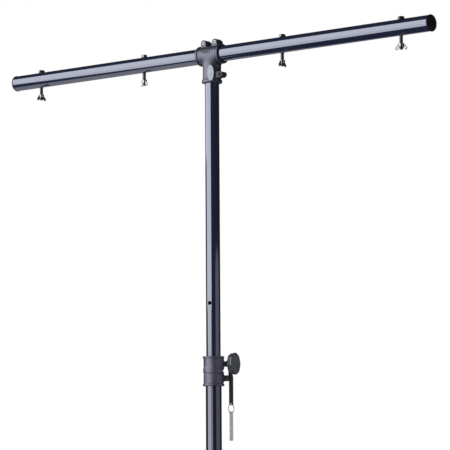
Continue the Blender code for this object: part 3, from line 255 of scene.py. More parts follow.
# The camera, in metres, degrees, millimetres and pixels of the photograph
CAMERA_PLACE = (4.029, -4.775, 0.915)
CAMERA_TURNS = (-39.91, 6.27, -0.34)
CAMERA_AHEAD = (-0.6379, 0.7625, 0.1092)
SENSOR_WIDTH = 36.0
FOCAL_PIXELS = 2856.0
PHOTO_PIXELS = 450.0

# The plane of the front light panels, 3 m from the mast: its foot, the way along it and the
# way that it faces
PANEL_FOOT = (-1.362, -2.673, 0.0)
PANEL_ALONG = (0.891, -0.454, 0.0)
PANEL_AHEAD = (0.454, 0.891, 0.0)

# The lamps' strength and colours
SOFTBOX = 2.0
MIDDLE_SHARE = 0.93
LOW_SOFTBOX = 1.7
SIDE_PANEL = 0.85
FILL = 0.35
BOUNCE = 0.50
COOL = (0.96, 0.97, 1.0)
VIOLET = (0.84, 0.83, 1.0)
ROOM_LIGHT = 0.44
ROOM_MIRRORED = 0.03
BACKDROP_EDGE = (0.94, 0.985)

# The floor, darker and faintly glowing for the camera alone
FLOOR_HALF = 24.0
FLOOR_DROP = 0.0004
FLOOR_PATCHES = ((0.68, 0.68, 0.69), (0.73, 0.73, 0.74))
FLOOR_SEEN = (0.40, 0.40, 0.41)
FLOOR_GLOW = 0.55
FLOOR_ROUGHNESS = 0.7

# Where each group of pieces stands
HEAD = Matrix.Translation((0, 0, BAR_HEIGHT))
CLAMP = Matrix.Translation((0, 0, CLAMP_BOTTOM)) @ Matrix.Rotation(math.radians(CLAMP_TURN), 4, "Z")
HUB = Matrix.Translation((0, 0, HUB_HEIGHT))
COLLAR = Matrix.Translation((0, 0, COLLAR_HEIGHT))
STILL = Matrix.Identity(4)
UP = Vector((0, 0, 1))


def place(location=(0, 0, 0), degrees=(0, 0, 0)):
    turn = Euler([math.radians(angle) for angle in degrees]).to_matrix().to_4x4()
    return Matrix.Translation(location) @ turn


Z_TO_X = place(degrees=(0, 90, 0))
KNOB_AXIS = CLAMP @ place((0, EAR_REACH, UPPER_EAR[0]), (0, 90, 0))


def azimuth(degrees):
    return Matrix.Rotation(math.radians(degrees), 4, "Z")


# The camera, at the photograph's own standpoint

def set_camera():
    yaw, pitch, roll = (math.radians(angle) for angle in CAMERA_TURNS)
    forward = Vector((math.sin(yaw) * math.cos(pitch), math.cos(yaw) * math.cos(pitch), math.sin(pitch)))
    level = Vector((math.cos(yaw), -math.sin(yaw), 0))
    rise = level.cross(forward)
    right = level * math.cos(roll) + rise * math.sin(roll)
    up = rise * math.cos(roll) - level * math.sin(roll)
    data = bpy.data.cameras.new("camera")
    data.sensor_width = SENSOR_WIDTH
    data.lens = SENSOR_WIDTH * FOCAL_PIXELS / PHOTO_PIXELS
    data.clip_start = 0.1
    data.clip_end = 60.0
    camera = bpy.data.objects.new("camera", data)
    bpy.context.scene.collection.objects.link(camera)
    turn = Matrix((right, up, -forward)).transposed().to_4x4()
    camera.matrix_world = Matrix.Translation(CAMERA_PLACE) @ turn
    bpy.context.scene.camera = camera


# Nodes, for materials and for shapes that repeat

def add(tree, kind, inputs=None, **settings):
    """A node with its settings, and its inputs set to a value or linked to a socket."""
    made = tree.nodes.new(kind)
    for name, value in settings.items():
        setattr(made, name, value)
    for key, value in (inputs or {}).items():
        if isinstance(value, bpy.types.NodeSocket):
            tree.links.new(value, made.inputs[key])
        else:
            made.inputs[key].default_value = value
    return made


def maths(tree, operation, first, second=0.0, clamp=False):
    node = add(tree, "ShaderNodeMath", {0: first, 1: second}, operation=operation, use_clamp=clamp)
    return node.outputs[0]


def vector_maths(tree, operation, first, second, output="Vector"):
    node = add(tree, "ShaderNodeVectorMath", {0: first, 1: second}, operation=operation)
    return node.outputs[output]


def spread(tree, value, low, high, **settings):
    """Nought where a value is low and one where it is high."""
    inputs = {"Value": value, "From Min": low, "From Max": high}
    return add(tree, "ShaderNodeMapRange", inputs, **settings).outputs[0]


def between(tree, share, low, high):
    """A value from low to high as share goes from nought to one."""
    return add(tree, "ShaderNodeMapRange", {"Value": share, "To Min": low, "To Max": high}).outputs[0]


def noise_at(tree, where, scale, detail, roughness=0.5):
    inputs = {"Vector": where, "Scale": scale, "Detail": detail, "Roughness": roughness}
    return add(tree, "ShaderNodeTexNoise", inputs).outputs[0]


def mixed(tree, share, first, second):
    """One colour that goes over into another; each is a socket or three numbers."""
    node = add(tree, "ShaderNodeMix", {0: share}, data_type="RGBA")
    for index, colour in ((6, first), (7, second)):
        if isinstance(colour, bpy.types.NodeSocket):
            tree.links.new(colour, node.inputs[index])
        else:
            node.inputs[index].default_value = (*colour, 1.0)
    return node.outputs[2]


def new_group(name, kind, inputs, outputs):
    """A node group; each input is (name, socket type, value) and each output (name, socket type)."""
    tree = bpy.data.node_groups.new(name, kind)
    for label, socket_type, value in inputs:
        socket = tree.interface.new_socket(label, in_out="INPUT", socket_type=socket_type)
        if value is not None:
            socket.default_value = value
    for label, socket_type in outputs:
        tree.interface.new_socket(label, in_out="OUTPUT", socket_type=socket_type)
    return tree, tree.nodes.new("NodeGroupInput").outputs, tree.nodes.new("NodeGroupOutput").inputs


FLOAT, VECTOR = "NodeSocketFloat", "NodeSocketVector"
GEOMETRY, INTEGER = "NodeSocketGeometry", "NodeSocketInt"
MATERIAL, OBJECT = "NodeSocketMaterial", "NodeSocketObject"


def edge_wear_and_highlight_group():
    """A ragged mask along the edges, where corners have lost their finish, and on some finishes where an
    edge carries a painted highlight.
    """
    inputs = [("Width", FLOAT, 0.0006), ("Amount", FLOAT, 1.0), ("Ragged scale", FLOAT, 300.0)]
    tree, given, result = new_group("edge wear and painted highlight", "ShaderNodeTree", inputs, [("Mask", FLOAT)])
    rounded = add(tree, "ShaderNodeBevel", {"Radius": given["Width"]}, samples=4)
    surface = add(tree, "ShaderNodeNewGeometry")
    agree = vector_maths(tree, "DOT_PRODUCT", rounded.outputs[0], surface.outputs["Normal"], "Value")
    turned_away = maths(tree, "SUBTRACT", 1.0, agree)
    where = add(tree, "ShaderNodeTexCoord").outputs["Object"]
    ragged = spread(tree, noise_at(tree, where, given["Ragged scale"], 4.0), 0.42, 0.62)
    edge = maths(tree, "MULTIPLY", turned_away, 9.0, clamp=True)
    mask = maths(tree, "MULTIPLY", edge, ragged)
    tree.links.new(maths(tree, "MULTIPLY", mask, given["Amount"], clamp=True), result["Mask"])
    return tree


def surface_noise_group():
    """Fine grain and slow patches of a surface, both from nought to one."""
    inputs = [("Grain scale", FLOAT, 1500.0), ("Patch scale", FLOAT, 25.0), ("Stretch", VECTOR, (1, 1, 1))]
    outputs = [("Grain", FLOAT), ("Patch", FLOAT)]
    tree, given, result = new_group("surface noise", "ShaderNodeTree", inputs, outputs)
    where = add(tree, "ShaderNodeTexCoord").outputs["Object"]
    stretched = vector_maths(tree, "MULTIPLY", where, given["Stretch"])
    tree.links.new(noise_at(tree, stretched, given["Grain scale"], 3.0, 0.6), result["Grain"])
    patch = noise_at(tree, where, given["Patch scale"], 4.0, 0.55)
    tree.links.new(spread(tree, patch, 0.3, 0.7), result["Patch"])
    return tree


def dust_group():
    """Dust that settles on faces that look up, thinner where it has been wiped."""
    inputs = [("Amount", FLOAT, 0.3), ("Scale", FLOAT, 60.0)]
    tree, given, result = new_group("settled dust", "ShaderNodeTree", inputs, [("Mask", FLOAT)])
    surface = add(tree, "ShaderNodeNewGeometry")
    parts = add(tree, "ShaderNodeSeparateXYZ", {0: surface.outputs["Normal"]})
    facing = spread(tree, parts.outputs["Z"], 0.45, 1.0, interpolation_type="SMOOTHSTEP")
    where = add(tree, "ShaderNodeTexCoord").outputs["Object"]
    wiped = spread(tree, noise_at(tree, where, given["Scale"], 5.0, 0.65), 0.35, 0.75)
    mask = maths(tree, "MULTIPLY", facing, wiped)
    tree.links.new(maths(tree, "MULTIPLY", mask, given["Amount"], clamp=True), result["Mask"])
    return tree


EDGE_WEAR_AND_HIGHLIGHT = edge_wear_and_highlight_group()
SURFACE_NOISE = surface_noise_group()
SETTLED_DUST = dust_group()


SOCKETS = {"metallic": "Metallic", "ior": "IOR", "tint": "Specular Tint"}
DUST_COLOUR = (0.30, 0.29, 0.28)


def finish(
    name,
    colour,
    patch_colour,
    roughness,
    grain,
    patch_scale=25.0,
    stretch=(1, 1, 1),
    worn=None,
    dust=0.0,
    **fixed,
):
    """A finish with grain, patches, lighter edges and dust; fixed values go on the shader itself.

    Grain is its scale and height, and worn is the edges' colour, width and amount: the bared colour of
    worn edges, and on the knobs and the clamp screw partly a painted highlight.
    """
    made = bpy.data.materials.new(name)
    made.use_nodes = True
    tree = made.node_tree
    shader = tree.nodes["Principled BSDF"]
    for key, value in fixed.items():
        shader.inputs[SOCKETS[key]].default_value = value
    grain_scale, grain_height = grain
    inputs = {"Grain scale": grain_scale, "Patch scale": patch_scale, "Stretch": stretch}
    noise = add(tree, "ShaderNodeGroup", inputs, node_tree=SURFACE_NOISE)
    patch = noise.outputs["Patch"]
    paint = mixed(tree, patch, colour, patch_colour)
    rough = between(tree, patch, *roughness)
    # Lighter edges: wear, and on some finishes a painted highlight.
    if worn is not None:
        wear_and_highlight_colour, width, amount = worn
        edge = add(tree, "ShaderNodeGroup", {"Width": width, "Amount": amount}, node_tree=EDGE_WEAR_AND_HIGHLIGHT)
        paint = mixed(tree, edge.outputs["Mask"], paint, wear_and_highlight_colour)
    if dust:
        settled = add(tree, "ShaderNodeGroup", {"Amount": dust}, node_tree=SETTLED_DUST)
        paint = mixed(tree, settled.outputs["Mask"], paint, DUST_COLOUR)
        lifted = maths(tree, "MULTIPLY", settled.outputs["Mask"], 0.5)
        rough = maths(tree, "ADD", rough, lifted, clamp=True)
    tree.links.new(paint, shader.inputs["Base Color"])
    tree.links.new(rough, shader.inputs["Roughness"])
    height = {"Height": noise.outputs["Grain"], "Distance": grain_height, "Strength": 1.0}
    bump = add(tree, "ShaderNodeBump", height)
    tree.links.new(bump.outputs[0], shader.inputs["Normal"])
    return made


GLOSS_PAINT = finish(
    "upper gloss paint",
    (0.0105, 0.0155, 0.0460),
    (0.0125, 0.0180, 0.0530),
    (0.045, 0.085),
    (450.0, 0.000001),
    patch_scale=12.0,
    dust=0.04,
    ior=3.05,
    tint=(0.86, 0.88, 1.0, 1.0),
)
LOWER_GLOSS_PAINT = finish(
    "lower gloss paint",
    (0.0105, 0.0120, 0.0290),
    (0.0125, 0.0140, 0.0335),
    (0.060, 0.110),
    (450.0, 0.000001),
    patch_scale=12.0,
    dust=0.06,
    ior=2.75,
    tint=(0.90, 0.90, 1.0, 1.0),
)
HEAD_PAINT = finish(
    "cast head paint",
    (0.010, 0.012, 0.026),
    (0.015, 0.017, 0.034),
    (0.40, 0.50),
    (1400.0, 0.00004),
    worn=((0.50, 0.50, 0.56), 0.0009, 0.8),
    dust=0.06,
    ior=2.5,
    tint=(0.82, 0.84, 1.0, 1.0),
)
CLAMP_PAINT = finish(
    "cast clamp paint",
    (0.052, 0.048, 0.082),
    (0.062, 0.058, 0.095),
    (0.32, 0.40),
    (1300.0, 0.00003),
    worn=((0.24, 0.24, 0.27), 0.0006, 0.5),
    dust=0.06,
    ior=2.1,
    tint=(0.93, 0.95, 1.0, 1.0),
)
ZINC = finish(
    "bright zinc plate",
    (0.44, 0.45, 0.46),
    (0.52, 0.52, 0.50),
    (0.08, 0.15),
    (2600.0, 0.000012),
    patch_scale=180.0,
    worn=((0.58, 0.58, 0.57), 0.0003, 0.7),
    dust=0.04,
    metallic=1.0,
)
BOLT_STEEL = finish(
    "dark plated bolts",
    (0.23, 0.24, 0.24),
    (0.30, 0.30, 0.29),
    (0.15, 0.25),
    (2400.0, 0.000012),
    patch_scale=180.0,
    worn=((0.45, 0.45, 0.44), 0.0003, 0.6),
    dust=0.04,
    metallic=1.0,
)
RING_STEEL = finish(
    "bright ring wire",
    (0.78, 0.78, 0.77),
    (0.85, 0.85, 0.83),
    (0.20, 0.30),
    (2400.0, 0.00001),
    patch_scale=160.0,
    metallic=0.2,
    ior=2.0,
)
# The clamp screw: blackened steel lightened to stand in for light in the shade where it sits, with a
# painted highlight ring along its cap's edge.
CLAMP_SCREW_PAINTED_LIGHT = finish(
    "clamp screw with painted light",
    (0.105, 0.095, 0.125),
    (0.135, 0.125, 0.155),
    (0.25, 0.38),
    (2200.0, 0.00001),
    patch_scale=150.0,
    worn=((0.45, 0.44, 0.45), 0.0006, 0.9),
    ior=1.8,
)
DULL_STEEL = finish(
    "dull steel",
    (0.70, 0.70, 0.68),
    (0.79, 0.79, 0.77),
    (0.36, 0.50),
    (700.0, 0.00003),
    patch_scale=90.0,
    stretch=(1.0, 1.0, 0.12),
    worn=((0.78, 0.78, 0.76), 0.0004, 0.6),
    metallic=0.2,
)
CAP_PLASTIC = finish(
    "black cap plastic",
    (0.007, 0.007, 0.008),
    (0.010, 0.010, 0.012),
    (0.36, 0.50),
    (1800.0, 0.00004),
    worn=((0.05, 0.05, 0.055), 0.0004, 0.5),
    dust=0.03,
    ior=1.5,
)
# The knobs' lighter edge colour is partly wear and partly a painted highlight along the rim's front edge.
KNOB_PLASTIC = finish(
    "knob plastic",
    (0.110, 0.120, 0.132),
    (0.126, 0.138, 0.150),
    (0.20, 0.32),
    (1500.0, 0.00003),
    worn=((0.22, 0.23, 0.24), 0.0005, 0.5),
    dust=0.04,
    ior=1.8,
)
KNOB_BAND = finish(
    "polished knob band",
    (0.060, 0.066, 0.072),
    (0.070, 0.077, 0.083),
    (0.10, 0.18),
    (1500.0, 0.00001),
    ior=2.9,
)
NYLON = finish(
    "white nylon",
    (0.66, 0.66, 0.62),
    (0.72, 0.72, 0.68),
    (0.42, 0.55),
    (1200.0, 0.00003),
    ior=1.53,
)
RUBBER = finish(
    "black rubber",
    (0.014, 0.014, 0.014),
    (0.022, 0.021, 0.020),
    (0.68, 0.85),
    (1600.0, 0.00010),
    worn=((0.07, 0.068, 0.065), 0.0008, 0.7),
    dust=0.20,
    ior=1.5,
)
STRAP_PLASTIC = finish(
    "strap plastic",
    (0.040, 0.042, 0.046),
    (0.052, 0.054, 0.058),
    (0.34, 0.48),
    (1700.0, 0.00009),
    worn=((0.11, 0.11, 0.115), 0.0004, 0.5),
    ior=1.5,
)
BADGE_PLATE = finish(
    "bare badge plate",
    (0.50, 0.55, 0.60),
    (0.58, 0.63, 0.68),
    (0.34, 0.48),
    (420.0, 0.00012),
    patch_scale=160.0,
    worn=((0.62, 0.62, 0.63), 0.0003, 0.5),
    metallic=0.15,
)
BLACKENED = finish(
    "blackened steel",
    (0.022, 0.021, 0.026),
    (0.032, 0.031, 0.036),
    (0.32, 0.46),
    (2200.0, 0.00001),
    patch_scale=150.0,
    worn=((0.22, 0.21, 0.20), 0.0003, 0.5),
    ior=1.6,
)


# Putting pieces into the scene

def new_object(name, mesh):
    item = bpy.data.objects.new(name, mesh)
    bpy.context.scene.collection.objects.link(item)
    return item


def object_of(name, shape):
    """The object of a mesh under construction, which ends with it."""
    mesh = bpy.data.meshes.new(name)
    shape.to_mesh(mesh)
    shape.free()
    return new_object(name, mesh)


def closed_object(name, shape):
    """The same, with every face turned outwards."""
    bmesh.ops.recalc_face_normals(shape, faces=shape.faces)
    return object_of(name, shape)


def bridge(shape, first, second, count):
    """Faces between two rows of count points, of which either may be a single point."""
    for i in range(count):
        j = (i + 1) % count
        corners = [first[i % len(first)], second[i % len(second)]]
        corners += [second[j % len(second)], first[j % len(first)]]
        corners = list(dict.fromkeys(corners))
        if len(corners) > 2:
            shape.faces.new(corners)


def lofted(name, sections):
    """A solid through sections of as many points each, closed at both ends."""
    shape = bmesh.new()
    rows = [[shape.verts.new(point) for point in section] for section in sections]
    for first, second in zip(rows, rows[1:]):
        for i in range(len(first)):
            j = (i + 1) % len(first)
            shape.faces.new((first[i], first[j], second[j], second[i]))
    shape.faces.new(rows[0])
    shape.faces.new(list(reversed(rows[-1])))
    return closed_object(name, shape)


def seen_mesh(item):
    """The plain mesh of an object with its modifiers carried out."""
    bpy.context.view_layer.update()
    evaluated = item.evaluated_get(bpy.context.evaluated_depsgraph_get())
    return bpy.data.meshes.new_from_object(evaluated)


def plain(item):
    """The object with its modifiers carried out and removed."""
    mesh = seen_mesh(item)
    item.modifiers.clear()
    item.data = mesh
    return item


def smooth_with_flats(item, angle=33.0):
    """Round faces shade round and flat ones flat, up to the edges that are truly sharp."""
    item.data.shade_smooth()
    item.data.set_sharp_from_angle(angle=math.radians(angle))
    step = item.modifiers.new("flats", "WEIGHTED_NORMAL")
    step.keep_sharp = True
    step.weight = 80
    return plain(item)


def stand_in(item, body, slot, finish_of, *nodes):
    """Hand a finished piece to its body, and hide the solids that it stands for; slot is not used."""
    if finish_of is not None:
        item.data.materials.clear()
        item.data.materials.append(finish_of)
    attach(item, body)
    if nodes:
        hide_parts(*nodes)
    return item


def one_mesh(name, items):
    """Several objects' meshes in one object, each with its own finish kept."""
    meshes = [item.data for item in items]
    shape = bmesh.new()
    materials = []
    for mesh in meshes:
        start = len(shape.faces)
        shape.from_mesh(mesh)
        shape.faces.ensure_lookup_table()
        slots = []
        for one in mesh.materials:
            if one not in materials:
                materials.append(one)
            slots.append(materials.index(one))
        if slots:
            for face in shape.faces[start:]:
                face.material_index = slots[min(face.material_index, len(slots) - 1)]
    mesh = bpy.data.meshes.new(name)
    for one in materials:
        mesh.materials.append(one)
    shape.to_mesh(mesh)
    shape.free()
    for item in items:
        bpy.data.objects.remove(item, do_unlink=True)
    return new_object(name, mesh)


# Turned pieces

def eased(profile, steps=4):
    """A profile with its corners rounded; a point is (radius, height) or (radius, height, ease)."""
    points = []
    for i, (radius, height, *ease) in enumerate(profile):
        corner = Vector((radius, height))
        if not ease:
            points.append((radius, height))
            continue
        before = Vector(profile[i - 1][:2]) - corner
        after = Vector(profile[(i + 1) % len(profile)][:2]) - corner
        reach = min(ease[0], 0.49 * before.length, 0.49 * after.length)
        start = corner + before.normalized() * reach
        end = corner + after.normalized() * reach
        for step in range(steps + 1):
            t = step / steps
            point = start * (1 - t) ** 2 + corner * 2 * t * (1 - t) + end * t**2
            points.append((point.x, point.y))
    return points


def turned(name, rings, matrix=STILL, sides=ROUND_SIDES, closed=False):
    """A piece turned about Z from rings of (radius, height), its outside running downwards."""
    angles = np.arange(sides) * math.tau / sides
    across = np.stack([np.cos(angles), np.sin(angles)])
    shape = bmesh.new()
    rows = []
    for radius, height in rings:
        radius, height = (np.broadcast_to(value, sides) for value in (radius, height))
        if radius.max() == 0:
            rows.append([shape.verts.new(matrix @ Vector((0, 0, height[0])))])
            continue
        row = zip(across[0] * radius, across[1] * radius, height)
        rows.append([shape.verts.new(matrix @ Vector(point)) for point in row])
    pairs = list(zip(rows, rows[1:]))
    if closed:
        pairs.append((rows[-1], rows[0]))
    for above, below in pairs:
        bridge(shape, above, below, sides)
    return object_of(name, shape)


def turned_smooth(name, profile, matrix=STILL, sides=ROUND_SIDES, closed=False):
    return smooth_with_flats(turned(name, eased(profile), matrix, sides, closed))


def drilled(item, axis, radius, half, sides):
    """A hole through an item along its axis frame's Z, half its length to both sides."""
    rings = [(0, half), (radius, half), (radius, -half), (0, -half)]
    return boolean(item, turned("drill", rings, axis, sides), "DIFFERENCE")


def hexagon(flats):
    """Radius of a hexagon at each side's angle, its flats facing along X."""
    angles = np.degrees(np.arange(ROUND_SIDES) * math.tau / ROUND_SIDES)
    return flats / 2 / np.cos(np.radians((angles + 30) % 60 - 30))


def hex_head(name, flats, height, matrix):
    """A bolt's head that stands on z = 0, its top corners chamfered by a cone."""
    outline = hexagon(flats)
    crown = flats / 2 * 0.94
    edge = height - (outline - crown) * HEX_CHAMFER_SLOPE
    washer = flats / 2 * 0.90
    rings = [
        (0, height),
        (crown * 0.985, height),
        (crown, height - 0.00004),
        (outline - 0.00006, edge + 0.00002),
        (outline, edge - 0.00010),
        (outline, 0.0003),
        (outline - 0.0001, 0.0002),
        (washer, 0.0002),
        (washer, 0.0),
        (0, 0.0),
    ]
    return smooth_with_flats(turned(name, rings, matrix), 24)


def hex_nut(name, flats, height, bore, matrix):
    """A nut that stands on z = 0, chamfered at both ends, with a countersunk bore."""
    outline = hexagon(flats)
    crown = flats / 2 * 0.95
    drop = (outline - crown) * HEX_CHAMFER_SLOPE
    rings = [
        (bore + 0.0005, height),
        (crown, height),
        (outline, height - drop),
        (outline, drop),
        (crown, 0.0),
        (bore + 0.0005, 0.0),
        (bore, 0.0005),
        (bore, height - 0.0005),
    ]
    return smooth_with_flats(turned(name, rings, matrix, closed=True), 24)


def screw_cap(name, radius, height, key, depth, shank, matrix, knurls=0):
    """A socket screw's cap above z = 0, with its key's hexagon and a stub of its shank."""
    socket = hexagon(key)
    angles = np.arange(ROUND_SIDES) * math.tau / ROUND_SIDES
    grip = 0.00012 * np.abs(np.sin(angles * knurls / 2)) if knurls else 0.0
    ease = 0.0005
    rings = [
        (0, height - depth),
        (socket, height - depth),
        (socket, height - 0.0002),
        (socket + 0.0002, height),
        (radius - ease, height),
        (radius - ease * 0.3, height - ease * 0.3),
        (radius - grip, height - ease),
        (radius - grip, 0.0002),
        (radius - 0.0003, 0.0),
        (shank, 0.0),
        (shank, -0.0005),
        (0, -0.0005),
    ]
    return smooth_with_flats(turned(name, rings, matrix), 30)


# Shapes that repeat, made by geometry nodes

def shape_tree(name, inputs):
    given = [("Points", GEOMETRY, None), *inputs, ("Finish", MATERIAL, None)]
    return new_group(name, "GeometryNodeTree", given, [("Geometry", GEOMETRY)])


def cylinder(tree, sides, radius, depth, segments=1):
    inputs = {"Vertices": sides, "Side Segments": segments, "Radius": radius, "Depth": depth}
    return add(tree, "GeometryNodeMeshCylinder", inputs).outputs["Mesh"]


def on_points(tree, points, piece, rotation):
    inputs = {"Points": points, "Instance": piece, "Rotation": rotation}
    return add(tree, "GeometryNodeInstanceOnPoints", inputs).outputs[0]


def realized(tree, geometry):
    return add(tree, "GeometryNodeRealizeInstances", {"Geometry": geometry}).outputs[0]


def hand_over(tree, geometry, given, result):
    """The geometry made real and given its finish, as what the tree grows."""
    inputs = {"Geometry": realized(tree, geometry), "Material": given["Finish"]}
    tree.links.new(add(tree, "GeometryNodeSetMaterial", inputs).outputs[0], result[0])
    return tree


def pierced_tube_tree():
    """A tube along Z, drilled right through along Y at each point of the mesh that it grows on."""
    sizes = [
        ("Radius", FLOAT, 0.0175),
        ("Wall", FLOAT, 0.0015),
        ("Length", FLOAT, 1.0),
        ("Hole radius", FLOAT, 0.0045),
        ("Sides", INTEGER, ROUND_SIDES),
    ]
    tree, given, result = shape_tree("pierced tube", sizes)
    outside = cylinder(tree, given["Sides"], given["Radius"], given["Length"])
    bore = maths(tree, "SUBTRACT", given["Radius"], given["Wall"])
    inside = cylinder(tree, given["Sides"], bore, maths(tree, "ADD", given["Length"], 0.01))
    reach = maths(tree, "MULTIPLY", given["Radius"], 3.0)
    drill = cylinder(tree, 40, given["Hole radius"], reach)
    holes = realized(tree, on_points(tree, given["Points"], drill, (math.pi / 2, 0, 0)))
    cut = add(tree, "GeometryNodeMeshBoolean", {"Mesh 1": outside}, operation="DIFFERENCE")
    tree.links.new(inside, cut.inputs["Mesh 2"])
    tree.links.new(holes, cut.inputs["Mesh 2"])
    return hand_over(tree, cut.outputs["Mesh"], given, result)


def threaded_rod_tree():
    """A rod along Z with a thread cut into it, faded out at both ends."""
    sizes = [
        ("Radius", FLOAT, 0.004),
        ("Length", FLOAT, 0.065),
        ("Pitch", FLOAT, 0.00125),
        ("Depth", FLOAT, 0.0006),
        ("Sides", INTEGER, THREAD_SIDES),
    ]
    tree, given, result = shape_tree("threaded rod", sizes)
    turns = maths(tree, "DIVIDE", given["Length"], given["Pitch"])
    steps = maths(tree, "MULTIPLY", turns, 6.0)
    rod = cylinder(tree, given["Sides"], given["Radius"], given["Length"], steps)
    where = add(tree, "GeometryNodeInputPosition")
    x, y, z = add(tree, "ShaderNodeSeparateXYZ", {0: where.outputs[0]}).outputs
    around = maths(tree, "DIVIDE", maths(tree, "ARCTAN2", y, x), math.tau)
    along = maths(tree, "DIVIDE", z, given["Pitch"])
    phase = maths(tree, "FRACT", maths(tree, "SUBTRACT", along, around))
    from_middle = maths(tree, "ABSOLUTE", maths(tree, "SUBTRACT", phase, 0.5))
    flat_crest = spread(tree, maths(tree, "MULTIPLY", from_middle, 2.0), 0.12, 0.94)
    half = maths(tree, "MULTIPLY", given["Length"], 0.5)
    to_end = maths(tree, "SUBTRACT", half, maths(tree, "ABSOLUTE", z))
    run_out = maths(tree, "DIVIDE", to_end, given["Pitch"], clamp=True)
    tip = maths(tree, "SUBTRACT", 1.0, run_out)
    depth = maths(tree, "MULTIPLY", maths(tree, "MULTIPLY", flat_crest, given["Depth"]), run_out)
    chamfer = maths(tree, "MULTIPLY", maths(tree, "MULTIPLY", tip, given["Depth"]), 0.9)
    cut_in = maths(tree, "ADD", depth, chamfer)
    share = maths(tree, "SUBTRACT", 1.0, maths(tree, "DIVIDE", cut_in, given["Radius"]))
    parts = {0: maths(tree, "MULTIPLY", x, share), 1: maths(tree, "MULTIPLY", y, share), 2: z}
    narrowed = add(tree, "ShaderNodeCombineXYZ", parts).outputs[0]
    moved = add(tree, "GeometryNodeSetPosition", {"Geometry": rod, "Position": narrowed})
    return hand_over(tree, moved.outputs["Geometry"], given, result)


def copies_tree():
    """One fastener set at each point, turned as the point's own angles say."""
    tree, given, result = shape_tree("fastener copies", [("Fastener", OBJECT, None)])
    piece = add(tree, "GeometryNodeObjectInfo", {"Object": given["Fastener"]})
    angles = add(tree, "GeometryNodeInputNamedAttribute", {"Name": "turn"}, data_type="FLOAT_VECTOR")
    turn = add(tree, "FunctionNodeEulerToRotation", {0: angles.outputs[0]})
    copies = on_points(tree, given["Points"], piece.outputs["Geometry"], turn.outputs[0])
    return hand_over(tree, copies, given, result)


PIERCED_TUBE = pierced_tube_tree()
THREADED_ROD = threaded_rod_tree()
FASTENER_COPIES = copies_tree()


def points_mesh(name, places, turns=None):
    mesh = bpy.data.meshes.new(name)
    mesh.from_pydata([tuple(point) for point in places], [], [])
    if turns is not None:
        angles = mesh.attributes.new("turn", "FLOAT_VECTOR", "POINT")
        angles.data.foreach_set("vector", np.array(turns, dtype=np.float32).ravel())
    return mesh


def grown(name, tree, points, matrix=STILL, **sizes):
    """The plain mesh that a tree grows on its points, moved to its place."""
    item = new_object(name, points)
    step = item.modifiers.new("shape", "NODES")
    step.node_group = tree
    sockets = {socket.name: socket.identifier for socket in tree.interface.items_tree}
    for label, value in sizes.items():
        step[sockets[label.replace("_", " ")]] = value
    plain(item)
    item.data.transform(matrix)
    return item


def pierced_tube(name, radius, wall, low, high, hole_radius, holes, matrix, sides=FINE_SIDES):
    """A drilled tube between two heights, with its round walls shaded as true cylinders."""
    middle = (low + high) / 2
    points = points_mesh(name + "_holes", [(0, 0, height - middle) for height in holes])
    item = grown(
        name,
        PIERCED_TUBE,
        points,
        Radius=radius,
        Wall=wall,
        Length=high - low,
        Hole_radius=hole_radius,
        Sides=sides,
        Finish=GLOSS_PAINT,
    )
    smooth_with_flats(item)
    mesh = item.data
    count = len(mesh.loops)
    normals = np.empty(count * 3, dtype=np.float32)
    mesh.corner_normals.foreach_get("vector", normals)
    normals = normals.reshape(-1, 3)
    corners = np.empty(count, dtype=np.int32)
    mesh.loops.foreach_get("vertex_index", corners)
    points = np.empty(len(mesh.vertices) * 3, dtype=np.float32)
    mesh.vertices.foreach_get("co", points)
    points = points.reshape(-1, 3)[corners]
    outward = points.copy()
    outward[:, 2] = 0
    outward /= np.maximum(np.linalg.norm(outward, axis=1, keepdims=True), 1e-9)
    agree = (outward * normals).sum(axis=1)
    on_wall = (np.abs(agree) > 0.9) & (np.abs(normals[:, 2]) < 0.2)
    normals[on_wall] = outward[on_wall] * np.sign(agree[on_wall])[:, None]
    mesh.normals_split_custom_set(normals.tolist())
    item.data.transform(matrix @ Matrix.Translation((0, 0, middle)))
    return item


def threaded_rod(name, radius, pitch, low, high, matrix, plating=ZINC):
    """A threaded rod between two heights on Z, moved to its place."""
    points = points_mesh(name + "_point", [(0, 0, 0)])
    middle = matrix @ Matrix.Translation((0, 0, (low + high) / 2))
    item = grown(
        name,
        THREADED_ROD,
        points,
        middle,
        Radius=radius,
        Length=high - low,
        Pitch=pitch,
        Depth=pitch * 0.5,
        Sides=THREAD_SIDES,
        Finish=plating,
    )
    return smooth_with_flats(item, 50)


def fastener_copies(name, fastener, matrices, plating):
    """Copies of one fastener, one at each matrix; the fastener itself is removed."""
    places = [matrix.to_translation() for matrix in matrices]
    turns = [tuple(matrix.to_euler()) for matrix in matrices]
    points = points_mesh(name + "_points", places, turns)
    item = grown(name, FASTENER_COPIES, points, Fastener=fastener, Finish=plating)
    bpy.data.objects.remove(fastener, do_unlink=True)
    return item


# Castings, worked out as one smooth skin round joined and cut forms

def joined(first, second, fillet):
    """Two forms as one, with a round fillet between them."""
    a, b = np.maximum(fillet - first, 0), np.maximum(fillet - second, 0)
    return np.maximum(fillet, np.minimum(first, second)) - np.hypot(a, b)


def cut_from(form, tool, ease):
    """A form less a tool, with the cut's edge rounded."""
    a, b = np.maximum(ease + form, 0), np.maximum(ease - tool, 0)
    return np.minimum(-ease, np.maximum(form, -tool)) + np.hypot(a, b)


def thick(flat, across, half, ease):
    """A flat form given a thickness of twice half, with its edges rounded."""
    a, b = flat + ease, np.abs(across) - half + ease
    return np.minimum(np.maximum(a, b), 0) + np.hypot(np.maximum(a, 0), np.maximum(b, 0)) - ease


def barrel(distance, along, radius, low, high, ease):
    """A cylinder from low to high, given the distance from its axis."""
    return thick(distance - radius, along - (low + high) / 2, (high - low) / 2, ease)


